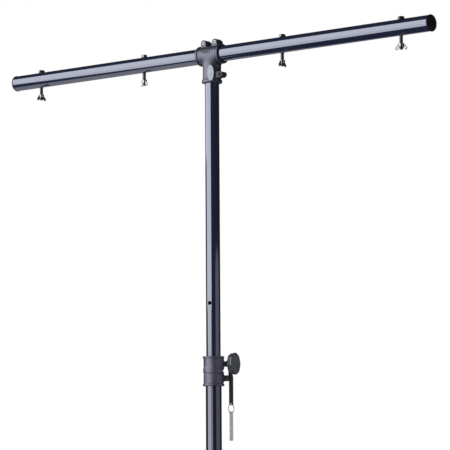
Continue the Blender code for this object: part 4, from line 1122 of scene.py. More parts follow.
def tapered(along, across, start, start_radius, end, end_radius):
    """A lug's outline: two circles and the lines that touch them both."""
    length = end - start
    u, v = along - start, np.abs(across)
    lean = (start_radius - end_radius) / length
    side = math.sqrt(1 - lean * lean)
    k = side * u - lean * v
    flank = side * v + lean * u - start_radius
    near = np.hypot(u, v) - start_radius
    far = np.hypot(u - length, v) - end_radius
    return np.where(k < 0, near, np.where(k > side * length, far, flank))


def slab(along, low, high):
    return np.abs(along - (low + high) / 2) - (high - low) / 2


def rounded_plate(across, up, left, right, low, high, radius):
    """A plate's outline with rounded corners."""
    a, b = slab(across, left, right) + radius, slab(up, low, high) + radius
    return np.minimum(np.maximum(a, b), 0) + np.hypot(np.maximum(a, 0), np.maximum(b, 0)) - radius


def oval(across, up, half_width, half_height):
    """An ellipse's outline, near enough a true distance for an easing."""
    level = np.hypot(across / half_width, up / half_height)
    steep = np.hypot(across / half_width**2, up / half_height**2)
    return level * (level - 1) / np.maximum(steep, 1e-9)


def slope_of(form, points, step):
    """Value and gradient of a form at each point."""
    gradient = np.empty_like(points)
    for axis in range(3):
        shift = np.zeros(3)
        shift[axis] = step
        gradient[:, axis] = (form((points + shift).T) - form((points - shift).T)) / (2 * step)
    return form(points.T), gradient


def skin_quads(form, low, high, cell):
    """The grid cells that a form's surface crosses, as points and the quads between them."""
    low, high = np.array(low) - 2 * cell, np.array(high) + 2 * cell
    counts = np.ceil((high - low) / cell).astype(int) + 1
    axes = [low[i] + cell * np.arange(counts[i]) for i in range(3)]
    values = np.empty(counts)
    for i, x in enumerate(axes[0]):
        y, z = np.meshgrid(axes[1], axes[2], indexing="ij")
        flat = np.stack([np.full(y.size, x), y.ravel(), z.ravel()])
        values[i] = form(flat).reshape(counts[1], counts[2])
    inside = values < 0
    corners = [(i, j, k) for i in (0, 1) for j in (0, 1) for k in (0, 1)]

    def corner_of(grid, corner):
        spans = [slice(c, grid.shape[i] - 1 + c) for i, c in enumerate(corner)]
        return grid[tuple(spans)]

    within = sum(corner_of(inside, corner).astype(np.int8) for corner in corners)
    active = (within > 0) & (within < 8)
    index = np.full(active.shape, -1)
    index[active] = np.arange(active.sum())
    cells = np.argwhere(active)
    total = np.zeros((len(cells), 3))
    hits = np.zeros(len(cells))
    for corner in corners:
        for axis in range(3):
            if corner[axis]:
                continue
            other = list(corner)
            other[axis] = 1
            a = values[tuple((cells + corner).T)]
            b = values[tuple((cells + other).T)]
            crossed = (a < 0) != (b < 0)
            share = a[crossed] / (a[crossed] - b[crossed])
            total[crossed] += corner
            total[crossed, axis] += share
            hits[crossed] += 1
    points = low + cell * (cells + total / hits[:, None])
    quads = []
    for axis in range(3):
        u, v = (axis + 1) % 3, (axis + 2) % 3
        first = np.take(inside, range(counts[axis] - 1), axis)
        second = np.take(inside, range(1, counts[axis]), axis)
        edges = np.argwhere(first != second)
        edges = edges[(edges[:, u] > 0) & (edges[:, v] > 0)]
        edges = edges[(edges[:, u] < counts[u] - 1) & (edges[:, v] < counts[v] - 1)]
        ring = []
        for du, dv in ((-1, -1), (0, -1), (0, 0), (-1, 0)):
            at = edges.copy()
            at[:, u] += du
            at[:, v] += dv
            ring.append(index[tuple(at.T)])
        quad = np.stack(ring, axis=1)
        outward = first[tuple(edges.T)]
        quad[~outward] = quad[~outward][:, ::-1]
        quads.append(quad)
    return points, np.concatenate(quads)


def skin(form, low, high, cell, rounds=3):
    """A form's skin as points, quads and the normals of the form itself."""
    points, quads = skin_quads(form, low, high, cell)
    step = cell * 0.15
    ends = np.concatenate([quads, np.roll(quads, 1, axis=1)]).ravel()
    back = np.roll(np.roll(quads, 1, axis=1), -1, axis=1)
    others = np.concatenate([np.roll(quads, -1, axis=1), back]).ravel()
    weight = np.bincount(ends, minlength=len(points))
    for turn in range(rounds):
        value, gradient = slope_of(form, points, step)
        size = np.maximum((gradient**2).sum(axis=1), 0.05)
        points -= np.clip(value, -cell, cell)[:, None] * gradient / size[:, None]
        if turn < rounds - 1:
            sums = [np.bincount(ends, weights=points[others, i], minlength=len(points)) for i in range(3)]
            drift = np.stack(sums, axis=1) / weight[:, None] - points
            normal = gradient / np.sqrt(size)[:, None]
            drift -= normal * (drift * normal).sum(axis=1)[:, None]
            points += 0.5 * drift
    _, gradient = slope_of(form, points, step)
    return points, quads, gradient / np.linalg.norm(gradient, axis=1, keepdims=True)


def skin_object(name, made, matrix):
    points, quads, normals = made
    turn = np.array(matrix.to_3x3())
    shift = np.array(matrix.to_translation())
    mesh = bpy.data.meshes.new(name)
    mesh.from_pydata((points @ turn.T + shift).tolist(), [], quads.tolist())
    mesh.shade_smooth()
    mesh.normals_split_custom_set_from_vertices((normals @ turn.T).tolist())
    return new_object(name, mesh)


def casting(name, form, low, high, matrix, cell=CELL):
    return skin_object(name, skin(form, low, high, cell), matrix)


# The T-head

HEAD_SCREWS = (
    (-LUG_PLACE, LUG_RISE, LUG_FRONT),
    (LUG_PLACE, LUG_RISE, LUG_FRONT),
    (SIDE_LUG_REACH, -SIDE_LUG_DROP, SIDE_LUG_DEPTH),
)


def head_form(p):
    x, y, z = p
    from_bar = np.hypot(y, z)
    from_mast = np.hypot(x, y)
    sleeve = barrel(from_bar, x, SLEEVE_RADIUS, -SLEEVE_HALF, SLEEVE_HALF, 0.0008)
    socket = barrel(from_mast, z, SOCKET_RADIUS, SOCKET_BOTTOM, 0.0, 0.0008)
    body = joined(sleeve, socket, 0.0075)
    rim_middle = SLEEVE_HALF - SLEEVE_RIM_WIDTH / 2
    rims = thick(from_bar - SLEEVE_RIM_RADIUS, np.abs(x) - rim_middle, SLEEVE_RIM_WIDTH / 2, 0.0009)
    flange = barrel(from_mast, z, FLANGE_RADIUS, SOCKET_BOTTOM, SOCKET_BOTTOM + FLANGE_HEIGHT, 0.0014)
    body = joined(body, flange, 0.0018)
    groove_middle = SLEEVE_HALF - SLEEVE_RIM_WIDTH - 0.0007
    groove = np.hypot(from_bar - SLEEVE_RADIUS - 0.0003, np.abs(x) - groove_middle) - 0.0011
    body = cut_from(body, groove, 0.0004)
    body = joined(body, rims, 0.0004)
    lugs = tapered(z, np.abs(x) - LUG_PLACE, 0.012, LUG_RADIUS + 0.0006, LUG_RISE, LUG_RADIUS)
    lug_middle = (LUG_REAR - LUG_FRONT) / 2
    lugs = thick(lugs, y - lug_middle, (LUG_FRONT + LUG_REAR) / 2, 0.0007)
    body = joined(body, lugs, 0.0016)
    side = tapered(x, z + SIDE_LUG_DROP, 0.012, SIDE_LUG_RADIUS + 0.0010, SIDE_LUG_REACH, SIDE_LUG_RADIUS)
    body = joined(body, thick(side, y, SIDE_LUG_DEPTH, 0.0008), 0.0022)
    turn = math.radians(BADGE_TURN)
    across = x * math.cos(turn) + y * math.sin(turn)
    outward = x * math.sin(turn) - y * math.cos(turn)
    pad = oval(across, z + BADGE_DROP, BADGE_WIDTH / 2 + BADGE_PAD_MARGIN, BADGE_HEIGHT / 2)
    pad = thick(pad, outward - BADGE_FACE / 2, BADGE_FACE / 2, 0.0007)
    body = joined(body, pad, 0.0012)
    body = cut_from(body, from_bar - BAR_RADIUS - HOLE_FIT, 0.0006)
    bore = np.maximum(from_mast - INNER_RADIUS - HOLE_FIT, z - SOCKET_TOP)
    body = cut_from(body, bore, 0.0006)
    slit = np.maximum(np.abs(y) - HEAD_SLIT / 2, -z)
    body = cut_from(body, slit, 0.0005)
    slit_top = -SIDE_LUG_DROP + 2 * SIDE_LUG_RADIUS
    side_slit = np.maximum(np.maximum(np.abs(y) - HEAD_SLIT / 2, z - slit_top), -x)
    body = cut_from(body, side_slit, 0.0005)
    for place_x, place_z, front in HEAD_SCREWS:
        from_screw = np.hypot(x - place_x, z - place_z)
        body = cut_from(body, from_screw - HEAD_SCREW_RADIUS - GAP, 0.0003)
        seat = front - HEAD_SCREW_CAP_HEIGHT - GAP
        pocket = np.maximum(from_screw - HEAD_SCREW_POCKET, seat + y)
        body = cut_from(body, pocket, 0.0004)
    return body


def badge_plate():
    """The bare oval plate on the head, slightly domed, with a fine raised border."""
    count = 96
    angles = np.arange(count) * math.tau / count
    half_width, half_height = BADGE_WIDTH / 2 + 0.0002, BADGE_HEIGHT / 2 - 0.0004
    turn = math.radians(BADGE_TURN)
    out = Vector((math.sin(turn), -math.cos(turn), 0))
    across = Vector((math.cos(turn), math.sin(turn), 0))
    steps = (
        (0.0, 0.00042),
        (0.35, 0.00040),
        (0.70, 0.00034),
        (0.86, 0.00030),
        (0.885, 0.00046),
        (0.93, 0.00050),
        (0.965, 0.00046),
        (1.0, 0.00020),
        (1.0, -0.00030),
        (0.0, -0.00030),
    )
    shape = bmesh.new()
    rows = []
    for share, lift in steps:
        reach = BADGE_FACE + lift
        if share == 0:
            middle = out * reach + UP * -BADGE_DROP
            rows.append([shape.verts.new(HEAD @ middle)])
            continue
        row = []
        for angle in angles:
            point = out * reach + across * (half_width * share * math.cos(angle))
            point += UP * (half_height * share * math.sin(angle) - BADGE_DROP)
            row.append(shape.verts.new(HEAD @ point))
        rows.append(row)
    for inner, outer in zip(rows, rows[1:]):
        bridge(shape, inner, outer, count)
    return smooth_with_flats(closed_object("badge_plate", shape), 50)


def cap_screw(name, radius, pitch, cap_radius, cap_height, length, key, depth, knurls=0):
    """A whole socket screw along Z: its cap above z = 0 and its thread below."""
    cap = screw_cap(name + "_cap", cap_radius, cap_height, key, depth, radius, STILL, knurls)
    thread = threaded_rod(name + "_thread", radius, pitch, -length, 0.0, STILL)
    return one_mesh(name, [cap, thread])


def build_head():
    head = casting("cast_t_head", head_form, *HEAD_BOX, HEAD)
    stand_in(head, "mast", "grey_casting", HEAD_PAINT, "t_head")
    stand_in(badge_plate(), "mast", "grey_casting", BADGE_PLATE)

    nut_end = LUG_REAR + GAP + HEAD_NUT_HEIGHT + THREAD_END
    seat = LUG_FRONT - HEAD_SCREW_CAP_HEIGHT
    sizes = (HEAD_SCREW_RADIUS, HEAD_SCREW_PITCH, HEAD_SCREW_CAP_RADIUS, HEAD_SCREW_CAP_HEIGHT)
    screw = cap_screw("sleeve_screw", *sizes, seat + nut_end, HEAD_KEY, SLEEVE_KEY_DEPTH)
    spots = [
        HEAD @ place((x, -seat, LUG_RISE), (90, 0, 0)) @ azimuth(spin)
        for x, spin in ((-LUG_PLACE, 20.0), (LUG_PLACE, 5.0))
    ]
    screws = fastener_copies("sleeve_screws", screw, spots, ZINC)
    stand_in(screws, "mast", "bright_zinc", None, "sleeve_screw_left", "sleeve_screw_right")

    seat = SIDE_LUG_DEPTH - HEAD_SCREW_CAP_HEIGHT
    length = seat + SIDE_LUG_DEPTH - THREAD_END
    screw = cap_screw("side_screw", *sizes, length, HEAD_KEY, SIDE_KEY_DEPTH)
    spot = HEAD @ place((SIDE_LUG_REACH, -seat, -SIDE_LUG_DROP), (90, 0, 0))
    side_screw = fastener_copies("socket_lug_screw", screw, [spot], BLACKENED)
    stand_in(side_screw, "mast", "bright_zinc", None, "socket_screw")

    nut = hex_nut("head_nut", HEAD_NUT_FLATS, HEAD_NUT_HEIGHT, HEAD_SCREW_RADIUS + NUT_BORE_FIT, STILL)
    spots = [HEAD @ place((x, LUG_REAR + GAP, LUG_RISE), (-90, 0, 0)) for x in (-LUG_PLACE, LUG_PLACE)]
    nuts = fastener_copies("sleeve_nuts", nut, spots, ZINC)
    stand_in(nuts, "mast", "bright_zinc", None, "sleeve_nut_left", "sleeve_nut_right")


# The crossbar and what it carries

def build_bar():
    bar = pierced_tube(
        "crossbar_tube",
        BAR_RADIUS,
        BAR_WALL,
        -BAR_HALF,
        BAR_HALF,
        LAMP_HOLE_RADIUS,
        LAMP_BOLT_PLACES,
        HEAD @ Z_TO_X @ place(degrees=(0, 0, 90)),
    )
    stand_in(bar, "mast", "black_gloss_paint", None, "crossbar")
    spigot = BAR_RADIUS - BAR_WALL - GAP
    end = BAR_HALF + GAP
    profile = [
        (0, end + CAP_RIM),
        (0.0120, end + CAP_RIM - 0.0001),
        (0.0132, end + CAP_RIM - 0.0006, 0.0004),
        (0.0142, end + CAP_RIM - 0.0005, 0.0004),
        (CAP_RADIUS, end + CAP_RIM - 0.0007, 0.0014),
        (CAP_RADIUS, end + 0.00005, 0.0003),
        (spigot, end + 0.00005),
        (spigot, end - CAP_SPIGOT + 0.001),
        (spigot - 0.001, end - CAP_SPIGOT),
        (0, end - CAP_SPIGOT),
    ]
    for name, turn in (("left", 180.0), ("right", 0.0)):
        cap = turned_smooth(f"bar_cap_{name}", profile, HEAD @ azimuth(turn) @ Z_TO_X)
        stand_in(cap, "mast", "black_plastic", CAP_PLASTIC, f"end_cap_{name}")


def wing_nut_form(p):
    x, y, z = p
    from_axis = np.hypot(x, y)
    low = -WING_HUB_HEIGHT
    share = np.clip(-z / WING_HUB_HEIGHT, 0, 1)
    radius = WING_HUB_RADIUS + (WING_NECK_RADIUS - WING_HUB_RADIUS) * share
    hub = thick(from_axis - radius, z - low / 2, -low / 2, 0.0006)
    side = np.abs(x)
    tip_x, tip_z = WING_SPAN / 2 - WING_TIP_RADIUS, -WING_HEIGHT + WING_TIP_RADIUS
    root_x, root_z, root_radius = WING_ROOT
    run = np.array([tip_x - root_x, tip_z - root_z])
    length = float(np.hypot(*run))
    run = run / length
    u = (side - root_x) * run[0] + (z - root_z) * run[1]
    v = -(side - root_x) * run[1] + (z - root_z) * run[0]
    petal = tapered(u, v, 0.0, root_radius, length, WING_TIP_RADIUS)
    bead = np.hypot(petal + WING_BEAD, y) - WING_BEAD
    wing = np.minimum(bead, np.maximum(petal + WING_BEAD, np.abs(y) - WING_WEB / 2))
    body = joined(hub, wing, 0.0012)
    return cut_from(body, from_axis - BOLT_RADIUS - 0.0001, 0.0004)


def build_lamp_bolts():
    reach = WING_SPAN / 2
    low, high = (-reach, -WING_HUB_RADIUS, -WING_HEIGHT), (reach, WING_HUB_RADIUS, 0.0)
    nut_skin = skin(wing_nut_form, low, high, NUT_CELL)
    seat = BAR_RADIUS + GAP
    places = zip(LAMP_BOLT_PLACES, LAMP_BOLT_TURNS, WING_NUT_TURNS)
    for number, (along, bolt_turn, nut_turn) in enumerate(places, 1):
        axis = HEAD @ place((along, 0, 0), (0, 0, bolt_turn))
        on_bar = axis @ Matrix.Translation((0, 0, seat))
        head = hex_head("bolt_head", BOLT_HEAD_FLATS, BOLT_HEAD_HEIGHT, on_bar)
        head.data.materials.append(BOLT_STEEL)
        low, high = seat - BOLT_LENGTH, seat + 0.0006
        thread = threaded_rod("bolt_thread", BOLT_RADIUS, BOLT_PITCH, low, high, axis, BOLT_STEEL)
        bolt = one_mesh(f"lamp_bolt_{number}_hexagon", [head, thread])
        stand_in(bolt, f"lamp_bolt_{number}", "bright_zinc", None, f"lamp_bolt_{number}")
        drop = HEAD @ place((along, 0, -BAR_RADIUS - WING_NUT_DROP), (0, 0, nut_turn))
        nut = skin_object(f"winged_nut_{number}", nut_skin, drop)
        stand_in(nut, f"wing_nut_{number}", "bright_zinc", ZINC, f"wing_nut_{number}")


# The mast tubes

def build_mast():
    outer = turned_smooth(
        "lower_mast_tube",
        [
            (OUTER_RADIUS - 0.0003, OUTER_TUBE_TOP),
            (OUTER_RADIUS, OUTER_TUBE_TOP - 0.0003),
            (OUTER_RADIUS, OUTER_TUBE_BOTTOM + 0.0003),
            (OUTER_RADIUS - 0.0003, OUTER_TUBE_BOTTOM),
            (OUTER_RADIUS - TUBE_WALL, OUTER_TUBE_BOTTOM),
            (OUTER_RADIUS - TUBE_WALL, OUTER_TUBE_TOP),
        ],
        sides=FINE_SIDES,
        closed=True,
    )
    stand_in(outer, "base", "black_gloss_paint", LOWER_GLOSS_PAINT, "outer_tube")
    inner = pierced_tube(
        "upper_mast_tube",
        INNER_RADIUS,
        TUBE_WALL,
        INNER_TUBE_BOTTOM,
        INNER_TUBE_TOP,
        PIN_HOLE_RADIUS,
        PIN_HOLE_HEIGHTS,
        azimuth(PIN_HOLE_TURN),
    )
    stand_in(inner, "mast", "black_gloss_paint", None, "inner_tube")
    spigot = OUTER_RADIUS - TUBE_WALL - HOLE_FIT
    seat = OUTER_TUBE_BOTTOM - GAP
    bottom = seat - BASE_PLUG_FLANGE
    plug = turned_smooth(
        "mast_foot_plug",
        [
            (0, OUTER_TUBE_BOTTOM + BASE_PLUG_SPIGOT),
            (spigot, OUTER_TUBE_BOTTOM + BASE_PLUG_SPIGOT, 0.001),
            (spigot, seat),
            (OUTER_RADIUS, seat, 0.0004),
            (OUTER_RADIUS, bottom, 0.0014),
            (0.010, bottom, 0.0006),
            (0.0095, bottom + 0.0012, 0.0006),
            (0, bottom + 0.0012),
        ],
    )
    stand_in(plug, "base", "black_plastic", CAP_PLASTIC, "base_plug")


# The clamp, its screw and its knob

def clamp_form(p):
    x, y, z = p
    from_mast = np.hypot(x, y)
    body = barrel(from_mast, z, CLAMP_RADIUS, 0.0, CLAMP_HEIGHT, 0.0006)
    low, high = CLAMP_BAND
    slope = np.clip((high + 0.0032 - z) / 0.0064, 0, 1)
    lift = (CLAMP_BAND_RADIUS - CLAMP_RADIUS) * slope**2 * (3 - 2 * slope)
    band = barrel(from_mast - lift, z, CLAMP_RADIUS, low, high + 0.0034, 0.0007)
    groove = np.hypot(from_mast - CLAMP_RADIUS - 0.0003, z - low + 0.0009) - 0.0012
    body = cut_from(np.minimum(body, band), groove, 0.0006)
    for bottom, top in ((0.0, CLAMP_RIM_HEIGHT), (CLAMP_HEIGHT - CLAMP_RIM_HEIGHT, CLAMP_HEIGHT)):
        rim = barrel(from_mast, z, CLAMP_RIM_RADIUS, bottom, top, 0.0009)
        body = joined(body, rim, 0.0007)
    for (height, radius, root), (bottom, top) in zip((UPPER_EAR, LOWER_EAR), EAR_PLATES):
        boss = tapered(y, z - height, 0.020, root * 0.99, EAR_REACH, radius)
        plate = rounded_plate(y, z, 0.010, EAR_PLATE_REACH, bottom, top, 0.0040)
        ear = thick(joined(boss, plate, 0.0010), x, EAR_DEPTH, 0.0009)
        body = joined(body, np.maximum(ear, EAR_START - y), 0.0012)
    body = cut_from(body, from_mast - OUTER_RADIUS - HOLE_FIT, 0.0005)
    body = cut_from(body, np.maximum(np.abs(x) - CLAMP_SLIT / 2, -y), 0.0005)
    slot = np.maximum(slab(z, *CLAMP_SLOT), -y)
    body = cut_from(body, slot, 0.0005)
    for height in (UPPER_EAR[0], LOWER_EAR[0]):
        from_screw = np.hypot(y - EAR_REACH, z - height)
        body = cut_from(body, from_screw - BOLT_RADIUS - HOLE_FIT, 0.0004)
    return body


def lobed(radius):
    """Radius of a knob's lobed rim at each side's angle."""
    angles = np.arange(KNOB_SIDES) * math.tau / KNOB_SIDES
    return radius - LOBE_DEPTH * (0.5 - 0.5 * np.cos(LOBES * angles)) ** 2


def clamp_knob_rings():
    """The knob from its face down its lobed rim and bell back to its stem."""
    reach = lobed(KNOB_RADIUS)
    face = KNOB_FACE
    back = face - KNOB_RIM
    rings = [
        (0, face - 0.0004),
        (KNOB_RADIUS * 0.50, face - 0.0003),
        (KNOB_RADIUS * 0.850, face - 0.0002),
        (KNOB_RADIUS * 0.863, face - 0.0006),
        (KNOB_RADIUS * 0.875, face - 0.0011),
        (KNOB_RADIUS * 0.893, face - 0.0011),
        (KNOB_RADIUS * 0.905, face - 0.0004),
        (KNOB_RADIUS * 0.915, face),
        (reach - 0.0011, face),
        (reach - 0.0006, face - 0.0001),
        (reach - 0.0002, face - 0.0004),
        (reach, face - 0.0009),
        (reach, face - 0.0016),
        (reach, face - 0.0024),
        (reach - 0.0002, face - 0.0032),
        (reach - 0.0006, face - 0.0038),
        (reach - 0.0009, face - 0.0041),
        (reach - 0.0010, face - 0.0045),
        (reach - 0.0011, back + 0.0020),
        (reach - 0.0013, back + 0.0010),
        (reach - 0.0018, back + 0.0003),
        (reach - 0.0026, back),
        (KNOB_RADIUS * 0.80, back - 0.0001),
    ]
    start, end = KNOB_COLLAR[1] + STRAP_THICKNESS + 2 * GAP, back - 0.0001
    wide = KNOB_RADIUS * 0.79
    steps = 18
    for i in range(steps - 1, -1, -1):
        share = i / steps
        flare = math.sin(share * math.pi / 2) ** BELL_FULLNESS
        radius = KNOB_COLLAR_RADIUS + (wide - KNOB_COLLAR_RADIUS) * flare
        rings.append((radius, start + (end - start) * share))
    stem = EAR_DEPTH + GAP
    bore = BOLT_RADIUS + GAP
    low, high = KNOB_COLLAR
    rings += [
        (KNOB_COLLAR_RADIUS - 0.0003, start),
        (KNOB_NECK_RADIUS, start),
        (KNOB_NECK_RADIUS, high),
        (KNOB_COLLAR_RADIUS - 0.0004, high),
        (KNOB_COLLAR_RADIUS, high - 0.0004),
        (KNOB_COLLAR_RADIUS, low + 0.0008),
        (KNOB_COLLAR_RADIUS - 0.0004, low + 0.0002),
        (KNOB_NECK_RADIUS + 0.0003, low - 0.0002),
        (KNOB_NECK_RADIUS, low - 0.0006),
        (KNOB_NECK_RADIUS, stem + 0.0004),
        (KNOB_NECK_RADIUS - 0.0004, stem),
        (bore, stem),
        (bore, stem + STUD_IN_KNOB),
        (0, stem + STUD_IN_KNOB),
    ]
    return rings, stem


def liner_form(p):
    x, y, z = p
    from_mast = np.hypot(x, y)
    sleeve = barrel(from_mast, z, OUTER_RADIUS, CLAMP_SEAT + GAP, CLAMP_HEIGHT - GAP, 0.0004)
    sleeve = cut_from(sleeve, from_mast - INNER_RADIUS - HOLE_FIT, 0.0004)
    return cut_from(sleeve, np.maximum(np.abs(x) - LINER_SLIT_HALF, -y), 0.0003)


def build_clamp():
    body = casting("cast_clamp", clamp_form, *CLAMP_BOX, CLAMP)
    stand_in(body, "base", "dark_grey_casting", CLAMP_PAINT, "clamp_body")

    outer = OUTER_RADIUS
    low, high = (-outer, -outer, CLAMP_SEAT + GAP), (outer, outer, CLAMP_HEIGHT - GAP)
    liner = casting("nylon_liner", liner_form, low, high, CLAMP, CELL * 0.8)
    stand_in(liner, "base", "white_nylon", NYLON, "clamp_liner")

    seat = EAR_DEPTH + GAP
    length = 2 * seat + CLAMP_NUT_HEIGHT + THREAD_END
    sizes = (BOLT_RADIUS, BOLT_PITCH, CLAMP_CAP_RADIUS, CLAMP_CAP_HEIGHT)
    screw = cap_screw(
        "lower_clamp_screw", *sizes, length, CLAMP_KEY, CLAMP_KEY_DEPTH, knurls=CLAMP_CAP_GROOVES
    )
    spot = CLAMP @ place((seat, EAR_REACH, LOWER_EAR[0]), (0, 90, 0))
    # The clamp screw takes the lightened finish with its painted edge highlight.
    clamp_screw = fastener_copies("clamp_socket_screw", screw, [spot], CLAMP_SCREW_PAINTED_LIGHT)
    stand_in(clamp_screw, "base", "bright_zinc", None, "clamp_screw")
    nut = hex_nut("clamp_nut", CLAMP_NUT_FLATS, CLAMP_NUT_HEIGHT, BOLT_RADIUS + NUT_BORE_FIT, STILL)
    spots = [CLAMP @ place((-seat, EAR_REACH, ear[0]), (0, -90, 0)) for ear in (LOWER_EAR, UPPER_EAR)]
    nuts = fastener_copies("clamp_nuts", nut, spots, ZINC)
    stand_in(nuts, "base", "bright_zinc", None, "clamp_screw_nut", "knob_nut")

    rings, stem = clamp_knob_rings()
    knob = smooth_with_flats(turned("lobed_clamp_knob", rings, KNOB_AXIS, KNOB_SIDES), 40)
    knob.data.materials.append(KNOB_PLASTIC)
    knob.data.materials.append(KNOB_BAND)
    to_axis = KNOB_AXIS.inverted()
    for polygon in knob.data.polygons:
        spot = to_axis @ polygon.center
        outer_edge = math.hypot(spot.x, spot.y) > KNOB_RADIUS - LOBE_DEPTH - KNOB_BAND_DEPTH
        if outer_edge and spot.z > KNOB_FACE - KNOB_BAND_WIDTH:
            polygon.material_index = 1
    stand_in(knob, "clamp_knob", "grey_green_plastic", None, "clamp_knob")
    low, high = -EAR_DEPTH - GAP - CLAMP_NUT_HEIGHT - THREAD_END, stem + STUD_IN_KNOB - 0.0002
    stud = threaded_rod("clamp_stud_thread", BOLT_RADIUS, BOLT_PITCH, low, high, KNOB_AXIS)
    stand_in(stud, "clamp_knob", "bright_zinc", None, "clamp_knob_stud")


# The lanyard: strap, ring and safety pin

def strap_route():
    """Outward place, drop and share of the twist along the strap, finely stepped."""
    clamped = KNOB_COLLAR[1] + GAP + STRAP_THICKNESS / 2
    eye = STRAP_EYE_RADIUS
    reach = STRAP_REACH
    marks = np.array(
        [
            (clamped, eye * 0.5, 0.0),
            (clamped + 0.0002, 0.0080, 0.02),
            (clamped + 0.0010, 0.0112, 0.12),
            (clamped + 0.0018, 0.0146, 0.26),
            (clamped + 0.0028, 0.0190, 0.42),
            (reach - 0.0018, 0.0232, 0.60),
            (reach - 0.0006, 0.0264, 0.88),
            (reach, 0.0298, 1.0),
            (reach, 0.0345, 1.0),
            (reach, 0.0450, 1.0),
            (reach, STRAP_LENGTH, 1.0),
        ]
    )
    steps = 5
    path = []
    for i in range(len(marks) - 1):
        p0, p1 = marks[max(i - 1, 0)], marks[i]
        p2, p3 = marks[i + 1], marks[min(i + 2, len(marks) - 1)]
        for k in range(steps):
            t = k / steps
            square, cube = 2 * p0 - 5 * p1 + 4 * p2 - p3, 3 * p1 - p0 - 3 * p2 + p3
            path.append(0.5 * (2 * p1 + (p2 - p0) * t + square * t**2 + cube * t**3))
    path.append(marks[-1])
    return path


def strap_sections():
    """Centre, width and thickness directions of the strap, in the clamp's frame."""
    face = math.radians(STRAP_FACE_TURN - CLAMP_TURN)
    route = strap_route()
    centres = [Vector((out, EAR_REACH, UPPER_EAR[0] - drop)) for out, drop, _ in route]
    sections = []
    for i, (centre, (_, _, twist)) in enumerate(zip(centres, route)):
        along = (centres[min(i + 1, len(centres) - 1)] - centres[max(i - 1, 0)]).normalized()
        angle = math.pi / 2 + (face - math.pi / 2) * min(max(twist, 0.0), 1.0)
        width = Vector((math.cos(angle), math.sin(angle), 0))
        width = (width - along * width.dot(along)).normalized()
        sections.append((centre, width, along.cross(width)))
    return sections


def rounded_section(width, thickness, radius, steps=4):
    """Points round a flat section with rounded corners, anticlockwise."""
    points = []
    for quarter, (sx, sy) in enumerate(((1, 1), (-1, 1), (-1, -1), (1, -1))):
        for i in range(steps + 1):
            angle = math.radians(90 * quarter + 90 * i / steps)
            x = sx * (width / 2 - radius) + radius * math.cos(angle)
            y = sy * (thickness / 2 - radius) + radius * math.sin(angle)
            points.append((x, y))
    return points


def boolean(item, tool, operation):
    step = item.modifiers.new(operation.lower(), "BOOLEAN")
    step.operation = operation
    step.solver = "EXACT"
    step.object = tool
    plain(item)
    bpy.data.objects.remove(tool, do_unlink=True)
    return item


def ring_top():
    """Centre of the wire where the ring hangs in the strap's hole, in the clamp's frame."""
    drop = STRAP_LENGTH - STRAP_HOLE_UP
    rise = RING_WIRE_RADIUS + 2 * GAP - STRAP_HOLE_RADIUS
    return Vector((STRAP_REACH, EAR_REACH, UPPER_EAR[0] - drop + rise))


def build_strap():
    outline = rounded_section(STRAP_WIDTH, STRAP_THICKNESS * STRAP_DRAWN_SHARE, STRAP_CORNER)
    rows = []
    for centre, width, through in strap_sections():
        rows.append([CLAMP @ (centre + width * x + through * y) for x, y in outline])
    strap = lofted("flat_strap", rows)

    low = KNOB_COLLAR[1] + GAP
    hole = KNOB_NECK_RADIUS + HOLE_FIT
    profile = [
        (hole - 0.0010, low + STRAP_THICKNESS),
        (STRAP_EYE_RADIUS, low + STRAP_THICKNESS, 0.0007),
        (STRAP_EYE_RADIUS, low, 0.0007),
        (hole - 0.0010, low),
    ]
    boolean(strap, turned("strap_eye", eased(profile), KNOB_AXIS, closed=True), "UNION")
    drilled(strap, KNOB_AXIS @ Matrix.Translation((0, 0, low)), hole, 0.010, 48)
    through = CLAMP @ place(ring_top(), (90, 0, STRAP_FACE_TURN - CLAMP_TURN))
    drilled(strap, through, RING_EYELET_RADIUS, 0.004, 40)
    smooth_with_flats(strap, 40)
    stand_in(strap, "strap", "strap_grey", STRAP_PLASTIC, "strap")


def build_ring_and_pin():
    hang = CLAMP @ place(ring_top(), (0, 0, RING_TURN - CLAMP_TURN))
    turns, steps = 2, 96
    count = turns * steps
    outline = rounded_section(2 * RING_WIRE_RADIUS, RING_WIRE_RADIUS * 0.92, RING_WIRE_CORNER, 2)
    rows = []
    for i in range(count + 1):
        share = i / count
        angle = share * turns * math.tau + math.radians(RING_START)
        step_over = 0.5 - 0.5 * math.cos(math.pi * min(max((share - 0.44) / 0.12, 0), 1))
        lift = (step_over - 0.5) * RING_WIRE_RADIUS
        row = []
        for out, across in outline:
            radius = RING_RADIUS + out
            down = radius * math.cos(angle) - RING_RADIUS
            row.append(hang @ Vector((radius * math.sin(angle), across + lift, down)))
        rows.append(row)
    ring = smooth_with_flats(lofted("split_ring", rows), 40)
    stand_in(ring, "ring", "bright_zinc", RING_STEEL, "pin_ring")

    rise = RING_RADIUS - math.sqrt(RING_RADIUS**2 - PIN_RADIUS**2)
    below = rise + RING_WIRE_RADIUS + GAP - PIN_CROSS_RADIUS
    high = below + PIN_CROSS_DOWN
    low = high - PIN_LENGTH
    spot = hang @ Matrix.Translation((0, 0, -2 * RING_RADIUS))
    profile = [
        (0, high),
        (PIN_RADIUS - 0.0008, high, 0.0003),
        (PIN_RADIUS, high - 0.0008, 0.0003),
        (PIN_RADIUS, low + 0.0008, 0.0003),
        (PIN_RADIUS - 0.0008, low, 0.0003),
        (0, low),
    ]
    pin = turned("hanging_safety_pin", eased(profile), spot, 64)
    drilled(pin, spot @ place((0, 0, below), (0, 90, 0)), PIN_CROSS_RADIUS, 0.01, 32)
    stand_in(smooth_with_flats(pin), "safety_pin", "dull_steel", DULL_STEEL, "safety_pin")


# The tripod

